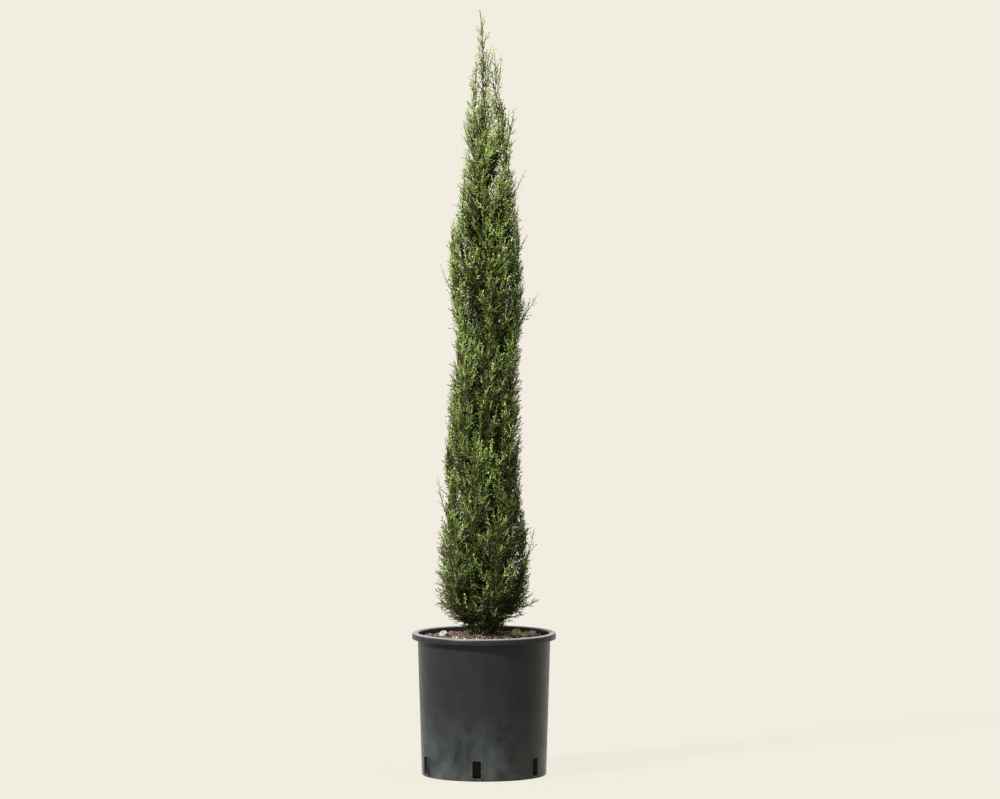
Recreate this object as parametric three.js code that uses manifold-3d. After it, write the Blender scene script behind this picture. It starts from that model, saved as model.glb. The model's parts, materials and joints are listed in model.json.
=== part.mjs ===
// A young Italian cypress in a nursery pot. One trunk runs up through a slim column of upright
// plumes of foliage. It grows in a soil ball that fills a round container with a rolled rim and
// drain slots. Millimetres, +Z up. The origin is the centre of the pot's flat underside.

import * as THREE from "three";
import { mergeVertices } from "three/addons/utils/BufferGeometryUtils.js";
import Module from "manifold-3d";

const wasm = await Module();
wasm.setup();

// ---------------------------------------------------------------- driving dimensions

const FIT_GAP = 0.3; // between pieces that bear on each other
const WELD = 1e-3; // corners nearer than this are one
const TREE_HEIGHT = 1486; // from the ground under the pot to the leader's tip

const POT = {
  height: 278,
  rimRadius: 140, // outside of the rolled rim
  topRadius: 129, // outside of the wall, under the rim
  baseRadius: 121, // outside of the wall, at the ground
  wall: 2.4,
  floor: 4,
  rimDrop: 12, // how far the rolled rim hangs down
  lipTop: 5, // the inner wall ends this far under the top of the rim
  footBevel: 3,
  sides: 36,
};

// The rolled rim's section, from the wall round its outside to the lip: how far in from the rim's
// radius, and how far down from its top.
const RIM = [
  [10.6, 4.4],
  [4.4, 4.4],
  [2.2, 11],
  [0.6, 12],
  [0, 7.2],
  [1.6, 2.4],
  [6, 0],
  [10, 0.6],
];

const SLOT = {
  count: 6,
  bearing: -6.5 - 90, // of the first slot, in degrees from +X
  width: 17,
  height: 34,
  sill: 6, // above the ground
  frame: 2.6, // the raised border round the opening
  proud: 1.1, // how far the border stands out of the wall
  cutDepth: 9.6, // to either side of the wall's outside, well past the wall
};

const SOIL = {
  edgeHeight: 266,
  crownHeight: 272, // the flat where the trunk stands
  crownRadius: 22,
  bump: 1.8,
  sides: 24,
  rings: 3,
};

const STONES = {
  size: 9.5, // mean radius
  stretch: [1.15, 0.9, 0.85], // along, across and up
  rough: 0.16, // how far a corner strays, as a share of the radius
  seats: [
    { bearing: 178, out: 79 },
    { bearing: 8, out: 93 },
  ],
  sunk: 0.2, // share of the stone that lies in the soil
  bedGap: 0.48, // round the stone, in its bed
};

const TRUNK = {
  footRadius: 9.5, // above the root flare
  tipRadius: 2.6,
  tipHeight: 1180,
  flare: 5, // how much the root flare adds at the ground
  flareHeight: 14,
  sway: 4, // how far the stem wanders from the upright
  swayLength: 520,
  swayEase: 200, // the sway grows in over this height
  swayDepth: 0.5, // the sway along Y, as a share of the sway along X
  crowding: 1.7, // how much the stations crowd towards the foot
  sides: 10,
  steps: 13,
};

const BOUGH = {
  reach: 25, // how far out from the trunk's middle the tip stands
  bendOut: 0.6, // where the bend lies, as shares of the reach and the rise
  bendUp: 0.25,
  footRadius: 3.4,
  tipRadius: 2.3,
  mostShare: 0.6, // of the trunk's radius, at the foot
  sides: 5,
  steps: 2,
  pathSteps: 4,
};

// One row for each tier of plumes, from the lowest: how many stand round the trunk, the bearing
// of the first, the height where they fork from the trunk, how far the bough rises, the share of
// the climb where the stem reaches its shoulder, and the height of the plumes' tips. Where a
// bough rises nothing, the plume grows from the trunk itself.
const TIERS = [
  { count: 5, bearing: 4, fork: 280, rise: 12, shoulder: 0.24, tip: 500 },
  { count: 5, bearing: 178, fork: 325, rise: 46, shoulder: 0.36, tip: 635 },
  { count: 4, bearing: 146, fork: 480, rise: 46, shoulder: 0.36, tip: 818 },
  { count: 4, bearing: 6, fork: 610, rise: 46, shoulder: 0.36, tip: 950 },
  { count: 4, bearing: 184, fork: 740, rise: 46, shoulder: 0.36, tip: 1050 },
  { count: 3, bearing: 30, fork: 890, rise: 0, shoulder: 0.4, tip: 1145 },
  { count: 3, bearing: -8, fork: 1010, rise: 0, shoulder: 0.45, tip: 1284 },
  { count: 2, bearing: 12, fork: 1140, rise: 0, shoulder: 0.5, tip: 1382 },
];
const JITTER = { bearing: 7, fork: 12, tip: 16, firstTip: 0.3 };

// The whole crown's outline: height, radius, and how far its middle leans towards +X.
const CROWN_OUTLINE = [
  [280, 44, 0],
  [292, 66, -2],
  [315, 88, -2],
  [345, 95, -2],
  [480, 92, 0],
  [535, 76, 0],
  [600, 81, -3],
  [740, 75, 0],
  [850, 68, 8],
  [925, 79, 8],
  [1035, 75, 1],
  [1130, 66, 5],
  [1200, 52, 8],
  [1292, 56, 11],
  [1308, 38, 2],
  [1372, 36, 4],
  [1400, 22, 2],
  [TREE_HEIGHT, 7, -6],
];

const PLUME = {
  radius: 38, // at its widest
  coreShare: 0.5, // the dense core's share of that
  leaderCoreShare: 0.3,
  shoulderInset: 25, // how far inside the crown's outline the shoulder lies
  coreFrom: 0.1, // where the core starts and ends along the stem
  coreTo: 0.84,
  coreSides: 6,
  coreSteps: 4,
  coreTip: 0.3, // how much of its radius the core keeps at its upper end
  coreLeast: 2, // radius, and the step in which it is drawn in
  coreTrim: 0.5,
  lowSwell: 0.85, // under 1 puts the widest point below the middle
  blunt: 0.7, // under 1 rounds out both ends
  stemTo: 0.22, // where the bare stem is lost in the core
  endFrom: 0.76, // where the spray that ends the plume is rooted
  stemSides: 4,
  stemSteps: 2,
  stemBend: 0.04, // share of the stem where its bare part bends
  lead: 12, // how far the stem runs straight on from its bough
  upperBend: 0.7, // share of the climb where it bends for the last time
  tipInset: 9, // how far inside the crown's outline the stem ends
  leastOut: 4, // no stem comes nearer to the crown's middle
  pathSteps: 14,
};

// The leader runs straight up, bends over a little, and ends beside the crown's middle.
const LEADER = { straight: 100, bendX: 4, bendBelow: 80, tipX: -8, turn: 2.4 };

const SPRAY = {
  perPlume: 10,
  perLeader: 22,
  tries: 170,
  longest: 84,
  shortest: 34,
  trim: 8, // the step in which a spray is shortened until it fits
  widthShare: 0.36, // of its length
  thickness: 3,
  ridge: 0.34, // where its thickest point lies
  rootWidth: 0.14, // its root's share of the width
  teeth: [
    { reach: 1, level: 0.31, notch: 0.34 },
    { reach: 0.74, level: 0.6, notch: 0.24 },
  ],
  hook: 0.07, // how far each notch lies above its tooth
  stagger: 0.13, // how far the teeth of one side stand above the other's
  footSpread: 44, // degrees away from the stem, for the lowest and the highest sprays
  tipSpread: 17,
  spreadRange: 7,
  turn: 2.3, // radians round the stem from its outward side, at most
  apart: 1.2, // least distance between two sprays of a plume
  rootShare: 0.68, // how far out in the core the root stands
  rootward: 0.25, // the share of its length that may lie in the core
  rootFrom: 0.08, // where the roots start and end along the stem
  rootTo: 0.93,
  rootStep: 0.618, // from one root to the next, as a share of that stretch
  rootStray: 0.2,
};

const CLEARANCE = 0.9; // between a plume's foliage and the edge of its own space
const LIMB_CLEARANCE = 0.6; // between a spray and the limbs or another plume
const SEED = 1207;

// ---------------------------------------------------------------- materials

const material = (colour, roughness) =>
  new THREE.MeshStandardMaterial({ color: colour, roughness, metalness: 0 });

const MATERIALS = {
  pot: material(0x2b2e2d, 0.45),
  soil: material(0x3a2a20, 0.95),
  stone: material(0xb7a68c, 0.85),
  bark: material(0x6b5140, 0.9),
  foliage: material(0x4f6230, 0.7),
};

// ---------------------------------------------------------------- small tools

const UP = new THREE.Vector3(0, 0, 1);

/** Random numbers from 0 to 1 that come out the same for the same seed. */
function seeded(seed) {
  let state = seed >>> 0;
  return () => {
    state = (state + 0x6d2b79f5) >>> 0;
    let mixed = Math.imul(state ^ (state >>> 15), state | 1);
    mixed ^= mixed + Math.imul(mixed ^ (mixed >>> 7), mixed | 61);
    return ((mixed ^ (mixed >>> 14)) >>> 0) / 4294967296;
  };
}

const either = (random, range) => (2 * random() - 1) * range;

const radians = THREE.MathUtils.degToRad;

/** The point at a distance and bearing from the Z axis, at a height. */
function around(radius, bearing, height) {
  const turn = radians(bearing);
  return new THREE.Vector3(radius * Math.cos(turn), radius * Math.sin(turn), height);
}

/** The crown's radius and lean at a height, on straight lines between the outline's rows. */
function crownAt(height) {
  const next = CROWN_OUTLINE.findIndex((row) => row[0] > height);
  const above = CROWN_OUTLINE.at(next);
  const below = CROWN_OUTLINE[Math.max(0, next - 1)] ?? above;
  const share = next > 0 ? (height - below[0]) / (above[0] - below[0]) : 1;
  return {
    radius: THREE.MathUtils.lerp(below[1], above[1], share),
    lean: THREE.MathUtils.lerp(below[2], above[2], share),
  };
}

/** A closed geometry as a solid that can be joined and cut. */
function solidOf(geometry) {
  const bare = geometry.index ? geometry.toNonIndexed() : geometry.clone();
  for (const name of Object.keys(bare.attributes)) {
    if (name !== "position") bare.deleteAttribute(name);
  }
  const merged = mergeVertices(bare, WELD);
  const corners = merged.index.array;
  const faces = [];
  for (let i = 0; i < corners.length; i += 3) {
    const [a, b, c] = corners.slice(i, i + 3);
    if (a !== b && b !== c && c !== a) faces.push(a, b, c);
  }
  return new wasm.Manifold(
    new wasm.Mesh({
      numProp: 3,
      vertProperties: merged.attributes.position.array,
      triVerts: new Uint32Array(faces),
    }),
  );
}

/** A solid as a named mesh. */
function meshOf(name, solid, finish) {
  const { vertProperties, triVerts } = solid.getMesh();
  const indexed = new THREE.BufferGeometry();
  indexed.setAttribute("position", new THREE.BufferAttribute(vertProperties, 3));
  indexed.setIndex(new THREE.BufferAttribute(triVerts, 1));
  const geometry = indexed.toNonIndexed();
  geometry.computeVertexNormals();
  const mesh = new THREE.Mesh(geometry, finish);
  mesh.name = name;
  return mesh;
}

/** The largest body of a solid. Loose scraps are dropped, and hollows sealed inside it are filled. */
function largestBody(solid) {
  const bodies = solid.decompose();
  return bodies.reduce((best, body) => (body.volume() > best.volume() ? body : best));
}

/** A turned solid, from its outline as [radius, height] rows that start and end on the axis. */
function turned(rows, sides) {
  const outline = rows.map(([radius, height]) => new THREE.Vector2(radius, height));
  return solidOf(new THREE.LatheGeometry(outline, sides).rotateX(Math.PI / 2));
}

/**
 * A limb: rings of points round a curve, closed by a flat cap at each end. The rings stand square
 * to the curve, or lie level. radiusAt(share, outward, middle) gives the radius at a share of the
 * length, towards a direction.
 */
function limb(curve, radiusAt, sides, steps, level = false) {
  const frames = curve.computeFrenetFrames(steps, false);
  const positions = [];
  for (let i = 0; i <= steps; i++) {
    const share = i / steps;
    const middle = curve.getPointAt(share);
    const across = level ? new THREE.Vector3(1, 0, 0) : frames.normals[i];
    const along = level ? UP : frames.tangents[i];
    for (let k = 0; k < sides; k++) {
      const outward = across.clone().applyAxisAngle(along, (2 * Math.PI * k) / sides);
      const corner = middle.clone().addScaledVector(outward, radiusAt(share, outward, middle));
      positions.push(...corner.toArray());
    }
  }
  const corner = (i, k) => i * sides + (k % sides);
  const faces = [];
  for (let i = 0; i < steps; i++) {
    for (let k = 0; k < sides; k++) {
      faces.push(corner(i, k), corner(i, k + 1), corner(i + 1, k + 1));
      faces.push(corner(i, k), corner(i + 1, k + 1), corner(i + 1, k));
    }
  }
  for (let k = 1; k < sides - 1; k++) {
    faces.push(corner(0, 0), corner(0, k + 1), corner(0, k));
    faces.push(corner(steps, 0), corner(steps, k), corner(steps, k + 1));
  }
  const geometry = new THREE.BufferGeometry();
  geometry.setAttribute("position", new THREE.Float32BufferAttribute(positions, 3));
  geometry.setIndex(faces);
  return solidOf(geometry);
}

/** Distance from a point to a line of points. */
function distanceToPath(point, path) {
  const nearest = new THREE.Vector3();
  const segment = new THREE.Line3();
  let least = Infinity;
  for (let i = 1; i < path.length; i++) {
    segment.set(path[i - 1], path[i]).closestPointToPoint(point, true, nearest);
    least = Math.min(least, nearest.distanceTo(point));
  }
  return least;
}

// ---------------------------------------------------------------- pot, soil and stones

/** Outside radius of the pot's wall at a height. */
const potWallAt = (height) =>
  THREE.MathUtils.mapLinear(height, 0, POT.height - POT.rimDrop, POT.baseRadius, POT.topRadius);

function slotBox(width, height, middleHeight, bearing, depth) {
  const radius = potWallAt(middleHeight);
  return solidOf(
    new THREE.BoxGeometry(2 * depth, width, height)
      .translate(radius, 0, middleHeight)
      .rotateZ(radians(bearing)),
  );
}

function makePot() {
  const { height, rimRadius, topRadius, baseRadius, wall, floor, rimDrop } = POT;
  let pot = turned(
    [
      [0, 0],
      [baseRadius - POT.footBevel, 0],
      [baseRadius, POT.footBevel],
      [topRadius, height - rimDrop],
      ...RIM.map(([inward, down]) => [rimRadius - inward, height - down]),
      [topRadius - wall, height - POT.lipTop],
      [baseRadius - wall, floor],
      [0, floor],
    ],
    POT.sides,
  );
  const middle = SLOT.sill + SLOT.height / 2;
  const bearings = Array.from(
    { length: SLOT.count },
    (_, i) => SLOT.bearing + (360 * i) / SLOT.count,
  );
  for (const bearing of bearings) {
    const border = 2 * SLOT.frame;
    const depth = SLOT.proud;
    pot = pot.add(slotBox(SLOT.width + border, SLOT.height + border, middle, bearing, depth));
  }
  for (const bearing of bearings) {
    pot = pot.subtract(slotBox(SLOT.width, SLOT.height, middle, bearing, SLOT.cutDepth));
  }
  return largestBody(pot);
}

/** Radius of the soil ball, clear of the flats of the pot's inner wall. */
function soilRadiusAt(height) {
  const [low, high] = [POT.baseRadius - POT.wall, POT.topRadius - POT.wall];
  const inside = THREE.MathUtils.mapLinear(height, POT.floor, POT.height - POT.lipTop, low, high);
  return inside * Math.cos(Math.PI / POT.sides) - FIT_GAP;
}

function makeSoil() {
  const random = seeded(SEED);
  const edge = soilRadiusAt(SOIL.edgeHeight);
  const top = [];
  for (let i = 0; i <= SOIL.rings; i++) {
    const share = i / SOIL.rings;
    const radius = THREE.MathUtils.lerp(edge, SOIL.crownRadius, share);
    const height = THREE.MathUtils.lerp(SOIL.edgeHeight, SOIL.crownHeight, share);
    top.push([radius, height]);
  }
  const foot = POT.floor + FIT_GAP;
  const ball = turned(
    [[0, foot], [soilRadiusAt(foot), foot], ...top, [0, SOIL.crownHeight]],
    SOIL.sides,
  );
  return ball.warp((vertex) => {
    const radius = Math.hypot(vertex[0], vertex[1]);
    const inField = radius > SOIL.crownRadius + 1 && radius < edge - 1;
    if (inField && vertex[2] > foot + 1) vertex[2] += either(random, SOIL.bump);
  });
}

/** Height of the soil's surface, at a distance from its middle. */
const soilTopAt = (out) =>
  THREE.MathUtils.mapLinear(
    out,
    soilRadiusAt(SOIL.edgeHeight),
    SOIL.crownRadius,
    SOIL.edgeHeight,
    SOIL.crownHeight,
  );

/** A pebble as rough as the seeded numbers make it, round the origin. */
function roughPebble(random) {
  const shape = new THREE.IcosahedronGeometry(STONES.size);
  const pebble = mergeVertices(shape.deleteAttribute("normal").deleteAttribute("uv"), WELD);
  const corners = pebble.attributes.position;
  const stretch = new THREE.Vector3(...STONES.stretch);
  for (let i = 0; i < corners.count; i++) {
    const corner = new THREE.Vector3().fromBufferAttribute(corners, i);
    corner.multiplyScalar(1 + either(random, STONES.rough)).multiply(stretch);
    corners.setXYZ(i, ...corner.toArray());
  }
  return pebble;
}

/** The pebbles, each with the grown copy that its bed in the soil is cut with. */
function makeStones() {
  const random = seeded(SEED + 1);
  return STONES.seats.map(({ bearing, out }) => {
    const pebble = roughPebble(random);
    const seat = around(out, bearing, soilTopAt(out));
    seat.z += STONES.size * STONES.stretch[2] * (1 - 2 * STONES.sunk);
    const place = (scale) =>
      solidOf(pebble.clone().scale(scale, scale, scale).rotateZ(radians(bearing)))
        .translate(seat.toArray());
    return { stone: place(1), bed: place(1 + STONES.bedGap / STONES.size) };
  });
}

// ---------------------------------------------------------------- trunk and boughs

/** The middle of the trunk at a height. */
function trunkMiddle(height) {
  const above = height - SOIL.crownHeight;
  const turn = (2 * Math.PI * above) / TRUNK.swayLength;
  const sway = TRUNK.sway * Math.min(1, above / TRUNK.swayEase);
  const across = TRUNK.swayDepth * (Math.cos(turn) - 1);
  return new THREE.Vector3(sway * Math.sin(turn), sway * across, height);
}

function trunkRadiusAt(height) {
  const above = height - SOIL.crownHeight;
  const share = above / (TRUNK.tipHeight - SOIL.crownHeight);
  const flare = TRUNK.flare * Math.exp(-above / TRUNK.flareHeight);
  return THREE.MathUtils.lerp(TRUNK.footRadius, TRUNK.tipRadius, share) + flare;
}

/** The trunk's middle line. Its stations crowd together towards the root flare. */
class TrunkLine extends THREE.Curve {
  getPoint(share, target = new THREE.Vector3()) {
    const foot = SOIL.crownHeight + FIT_GAP;
    const height = THREE.MathUtils.lerp(foot, TRUNK.tipHeight, share ** TRUNK.crowding);
    return target.copy(trunkMiddle(height));
  }

  getPointAt(share, target) {
    return this.getPoint(share, target);
  }
}

function makeTrunk(extra = 0) {
  const radiusAt = (share, outward, middle) => trunkRadiusAt(middle.z) + extra;
  return limb(new TrunkLine(), radiusAt, TRUNK.sides, TRUNK.steps, true);
}

/** Every plume's place: its bough, and the line of its stem, worked out from the tiers. */
function layOutPlumes() {
  const random = seeded(SEED + 2);
  const plumes = [];
  TIERS.forEach((tier, level) => {
    for (let i = 0; i < tier.count; i++) {
      const bearing = tier.bearing + (360 * i) / tier.count + either(random, JITTER.bearing);
      const fork = tier.fork + either(random, JITTER.fork);
      const tip = tier.tip + either(random, JITTER.tip) * (i ? 1 : JITTER.firstTip);
      plumes.push(plumeAt(`${level + 1}_${i + 1}`, tier, bearing, fork, tip));
    }
  });
  plumes.push(leaderPlume());
  return plumes;
}

/** A point inside the crown's outline, by an inset. */
function inCrown(bearing, height, inset) {
  const { radius, lean } = crownAt(height);
  const out = Math.max(PLUME.leastOut, radius - inset);
  return around(out, bearing, height).add(new THREE.Vector3(lean, 0, 0));
}

/** One plume on its bough. Its stem climbs out to a shoulder, then up inside the outline. */
function plumeAt(label, { rise, shoulder }, bearing, fork, tip) {
  const start = trunkMiddle(fork);
  const outward = around(1, bearing, 0);
  const boughTip = start.clone().addScaledVector(outward, BOUGH.reach).addScaledVector(UP, rise);
  const bend = start.clone().addScaledVector(outward, BOUGH.bendOut * BOUGH.reach);
  bend.addScaledVector(UP, BOUGH.bendUp * rise);
  const heading = (rise ? boughTip.clone().sub(bend) : outward.clone().add(UP)).normalize();
  const stemStart = rise ? boughTip.clone().addScaledVector(heading, FIT_GAP) : start;
  const climb = tip - stemStart.z;
  const halfway = (PLUME.shoulderInset + PLUME.tipInset) / 2;
  const stem = new THREE.CatmullRomCurve3([
    stemStart,
    stemStart.clone().addScaledVector(heading, PLUME.lead),
    inCrown(bearing, stemStart.z + shoulder * climb, PLUME.shoulderInset),
    inCrown(bearing, stemStart.z + PLUME.upperBend * climb, halfway),
    inCrown(bearing, tip, PLUME.tipInset),
  ]);
  const bough = rise ? new THREE.QuadraticBezierCurve3(start, bend, boughTip) : null;
  const path = [
    ...(bough?.getPoints(BOUGH.pathSteps) ?? []),
    ...stem.getPoints(PLUME.pathSteps),
  ];
  return { label, outward, stem, bough, path, coreShare: PLUME.coreShare };
}

/** The plume that carries the trunk's line on to the top. */
function leaderPlume() {
  const start = trunkMiddle(TRUNK.tipHeight).addScaledVector(UP, FIT_GAP);
  const stem = new THREE.CubicBezierCurve3(
    start,
    start.clone().addScaledVector(UP, LEADER.straight),
    new THREE.Vector3(LEADER.bendX, 0, TREE_HEIGHT - LEADER.bendBelow),
    new THREE.Vector3(LEADER.tipX, 0, TREE_HEIGHT),
  );
  return {
    label: "leader",
    outward: new THREE.Vector3(1, 0, 0),
    stem,
    bough: null,
    path: stem.getPoints(PLUME.pathSteps),
    coreShare: PLUME.leaderCoreShare,
    leader: true,
  };
}

/** A tapering bough from the trunk to its plume, cut clear of the trunk. */
function makeBough(plume, trunkRoom) {
  const most = BOUGH.mostShare * trunkRadiusAt(plume.bough.v0.z);
  const foot = Math.min(BOUGH.footRadius, most);
  const radiusAt = (share) => THREE.MathUtils.lerp(foot, BOUGH.tipRadius, share);
  const whole = limb(plume.bough, radiusAt, BOUGH.sides, BOUGH.steps);
  return largestBody(whole.subtract(trunkRoom));
}

// ---------------------------------------------------------------- foliage

/** Whether a point is inside the crown's outline and outside the trunk. */
function inCrownSpace(point) {
  const { radius, lean } = crownAt(point.z);
  if (point.z < CROWN_OUTLINE[0][0] || point.z > TREE_HEIGHT) return false;
  if (Math.hypot(point.x - lean, point.y) > radius) return false;
  const fromTrunk = point.distanceTo(trunkMiddle(point.z));
  return point.z > TRUNK.tipHeight || fromTrunk > trunkRadiusAt(point.z) + LIMB_CLEARANCE;
}

/** Whether a point is nearer to a plume's own line than to any other plume's. */
function inOwnSpace(point, plume, plumes) {
  if (!inCrownSpace(point)) return false;
  const own = distanceToPath(point, plume.path) + 2 * CLEARANCE;
  return plumes.every((other) => other === plume || distanceToPath(point, other.path) > own);
}

/** A plume's radius, by share of its stem: none at either end, widest below the middle. */
const plumeRadiusAt = (share) =>
  PLUME.radius * Math.sin(Math.PI * share ** PLUME.lowSwell) ** PLUME.blunt;

/** The core's radius at a share of the stem, drawn in where the plume's space is narrow. */
function coreRadiusAt(plume, plumes, share, outward) {
  const middle = plume.stem.getPointAt(share);
  let radius = plume.coreShare * plumeRadiusAt(share);
  const edge = () => middle.clone().addScaledVector(outward, radius);
  while (radius > PLUME.coreLeast && !inOwnSpace(edge(), plume, plumes)) radius -= PLUME.coreTrim;
  return radius;
}

/** The dense core round a stem: a spindle that fills the heart of the plume's space. */
function makeCore(plume, plumes) {
  const { coreFrom, coreTo, coreSides, coreSteps } = PLUME;
  const shareAt = (share) => THREE.MathUtils.lerp(coreFrom, coreTo, share);
  const stations = Array.from({ length: coreSteps + 1 }, (_, i) => shareAt(i / coreSteps));
  const line = new THREE.CatmullRomCurve3(stations.map((at) => plume.stem.getPointAt(at)));
  const radiusAt = (share, outward) =>
    coreRadiusAt(plume, plumes, shareAt(share), outward) * (share === 1 ? PLUME.coreTip : 1);
  return limb(line, radiusAt, coreSides, coreSteps);
}

/**
 * A spray of needles as a toothed blade, thick along its middle and thin at its edge. It stands
 * along +Z with its root at the origin, its width along X and its thickness along Y.
 */
function toothedBlade(length) {
  const half = (SPRAY.widthShare * length) / 2;
  const at = (x, share, y = 0) => new THREE.Vector3(x * half, y, share * length);
  const side = (sign, lift) => [
    at(sign * SPRAY.rootWidth, 0),
    ...SPRAY.teeth.flatMap(({ reach, level, notch }) => [
      at(sign * reach, level + lift),
      at(sign * notch, level + lift + SPRAY.hook),
    ]),
  ];
  const edge = [...side(1, 0), at(0, 1), ...side(-1, SPRAY.stagger).reverse()];
  const positions = [];
  for (const face of [-1, 1]) {
    const ridge = at(0, SPRAY.ridge, (face * SPRAY.thickness) / 2);
    edge.forEach((corner, i) => {
      const next = edge[(i + 1) % edge.length];
      const turn = face > 0 ? [next, corner] : [corner, next];
      positions.push(...[ridge, ...turn].flatMap((point) => point.toArray()));
    });
  }
  const geometry = new THREE.BufferGeometry();
  geometry.setAttribute("position", new THREE.Float32BufferAttribute(positions, 3));
  return geometry;
}

/** The turn and shift that stand a blade on a root, along a heading, faced by a spin. */
function standing(root, heading, spin) {
  const turn = new THREE.Quaternion()
    .setFromUnitVectors(UP, heading)
    .multiply(new THREE.Quaternion().setFromAxisAngle(UP, spin));
  return new THREE.Matrix4().compose(root, turn, new THREE.Vector3(1, 1, 1));
}

/** Whether the whole of a spray keeps to its plume's space. Its root lies in the core. */
function sprayFits(geometry, root, length, plume, plumes) {
  const corners = geometry.attributes.position;
  const corner = new THREE.Vector3();
  for (let i = 0; i < corners.count; i++) {
    corner.fromBufferAttribute(corners, i);
    const rootward = corner.distanceTo(root) < SPRAY.rootward * length;
    if (!rootward && !inOwnSpace(corner, plume, plumes)) return false;
  }
  return true;
}

const clearOf = (solid, others, gap) => others.every((other) => solid.minGap(other, gap) >= gap);

/** The root and heading of one spray on a plume, by the seeded rule. */
function sprayPlace(plume, plumes, i, random) {
  const step = (i * SPRAY.rootStep + SPRAY.rootStray * random()) % 1;
  const share = THREE.MathUtils.lerp(SPRAY.rootFrom, SPRAY.rootTo, step);
  const along = plume.stem.getTangentAt(share);
  const side = new THREE.Vector3().crossVectors(along, plume.outward).normalize();
  const front = new THREE.Vector3().crossVectors(side, along);
  const turn = plume.leader ? LEADER.turn * i : either(random, SPRAY.turn);
  const away = front.multiplyScalar(Math.cos(turn)).addScaledVector(side, Math.sin(turn));
  const level = THREE.MathUtils.lerp(SPRAY.footSpread, SPRAY.tipSpread, Math.sqrt(share));
  const spread = radians(level + either(random, SPRAY.spreadRange));
  const out = SPRAY.rootShare * coreRadiusAt(plume, plumes, share, away);
  return {
    root: plume.stem.getPointAt(share).addScaledVector(away, out),
    heading: along.multiplyScalar(Math.cos(spread)).addScaledVector(away, Math.sin(spread)),
    spin: either(random, Math.PI / 2),
  };
}

/**
 * The sprays of one plume, by a seeded rule. Their roots climb the stem, mostly on its outward
 * side. Each takes the longest blade that keeps to the plume's space and clear of the others.
 */
function makeSprays(plume, plumes, others, random) {
  const wanted = plume.leader ? SPRAY.perLeader : SPRAY.perPlume;
  const sprays = [endSpray(plume, others)];
  for (let i = 0; i < SPRAY.tries && sprays.length <= wanted; i++) {
    const { root, heading, spin } = sprayPlace(plume, plumes, i, random);
    for (let length = SPRAY.longest; length >= SPRAY.shortest; length -= SPRAY.trim) {
      const blade = toothedBlade(length).applyMatrix4(standing(root, heading, spin));
      if (!sprayFits(blade, root, length, plume, plumes)) continue;
      const spray = solidOf(blade);
      if (!clearOf(spray, [others], LIMB_CLEARANCE)) continue;
      if (!clearOf(spray, sprays, SPRAY.apart)) continue;
      sprays.push(spray);
      break;
    }
  }
  return sprays;
}

/** The spray that ends a plume, turned to the first side on which it has room. */
function endSpray(plume, others) {
  const tip = plume.stem.getPointAt(1);
  const root = plume.stem.getPointAt(PLUME.endFrom);
  const heading = tip.clone().sub(root).normalize();
  const turned = [0, 1, 2, 3].map((quarter) =>
    solidOf(
      toothedBlade(root.distanceTo(tip)).applyMatrix4(
        standing(root, heading, (quarter * Math.PI) / 4),
      ),
    ),
  );
  return turned.find((spray) => clearOf(spray, [others], LIMB_CLEARANCE)) ?? turned[0];
}

/** A plume's bare stem and dense core, cut clear of the trunk. */
function makePlumeBody(plume, plumes, trunkRoom) {
  const stations = [0, PLUME.stemBend, PLUME.stemTo].map((at) => plume.stem.getPointAt(at));
  const line = new THREE.CatmullRomCurve3(stations);
  const stem = limb(line, () => BOUGH.tipRadius, PLUME.stemSides, PLUME.stemSteps);
  return largestBody(stem.add(makeCore(plume, plumes)).subtract(trunkRoom));
}

/** Every plume as one body. Sprays are added plume by plume, each clear of all the others. */
function makePlumes(plumes, limbs, trunkRoom) {
  const random = seeded(SEED + 3);
  const bodies = plumes.map((plume) => makePlumeBody(plume, plumes, trunkRoom));
  plumes.forEach((plume, i) => {
    const others = wasm.Manifold.compose([...limbs, ...bodies.filter((_, j) => j !== i)]);
    const sprays = makeSprays(plume, plumes, others, random);
    bodies[i] = largestBody(wasm.Manifold.union([bodies[i], ...sprays]));
  });
  return bodies;
}

// ---------------------------------------------------------------- the whole tree

function build() {
  const tree = new THREE.Group();
  const put = (name, solid, finish) => tree.add(meshOf(name, solid, finish));

  put("pot", makePot(), MATERIALS.pot);
  const stones = makeStones();
  const soil = stones.reduce((ball, { bed }) => ball.subtract(bed), makeSoil());
  put("soil", largestBody(soil), MATERIALS.soil);
  stones.forEach(({ stone }, i) => put(`stone_${i + 1}`, stone, MATERIALS.stone));

  const trunk = makeTrunk();
  put("trunk", trunk, MATERIALS.bark);
  const trunkRoom = makeTrunk(FIT_GAP / Math.cos(Math.PI / TRUNK.sides));
  const plumes = layOutPlumes();
  const forked = plumes.filter((plume) => plume.bough);
  const boughs = forked.map((plume) => makeBough(plume, trunkRoom));
  forked.forEach(({ label }, i) => put(`bough_${label}`, boughs[i], MATERIALS.bark));

  const foliage = makePlumes(plumes, [trunk, ...boughs], trunkRoom);
  plumes.forEach(({ label }, i) => put(`foliage_${label}`, foliage[i], MATERIALS.foliage));
  return tree;
}

export default build();
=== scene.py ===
"""A young Italian cypress in a nursery pot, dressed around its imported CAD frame.

The crown grows by the same seeded rule as the solids: tiers of upright plumes on short boughs,
each inside its own space. Here every plume is carried on to twigs and to sprays of scale leaves.
Sizes are in millimetres unless a name says otherwise, and meshes are made in metres.
"""

import json
import logging
import math
from dataclasses import dataclass, field
from enum import Enum
from typing import Any, Iterable, Sequence

import bmesh
import bpy
import numpy as np
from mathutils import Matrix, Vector, noise

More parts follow.
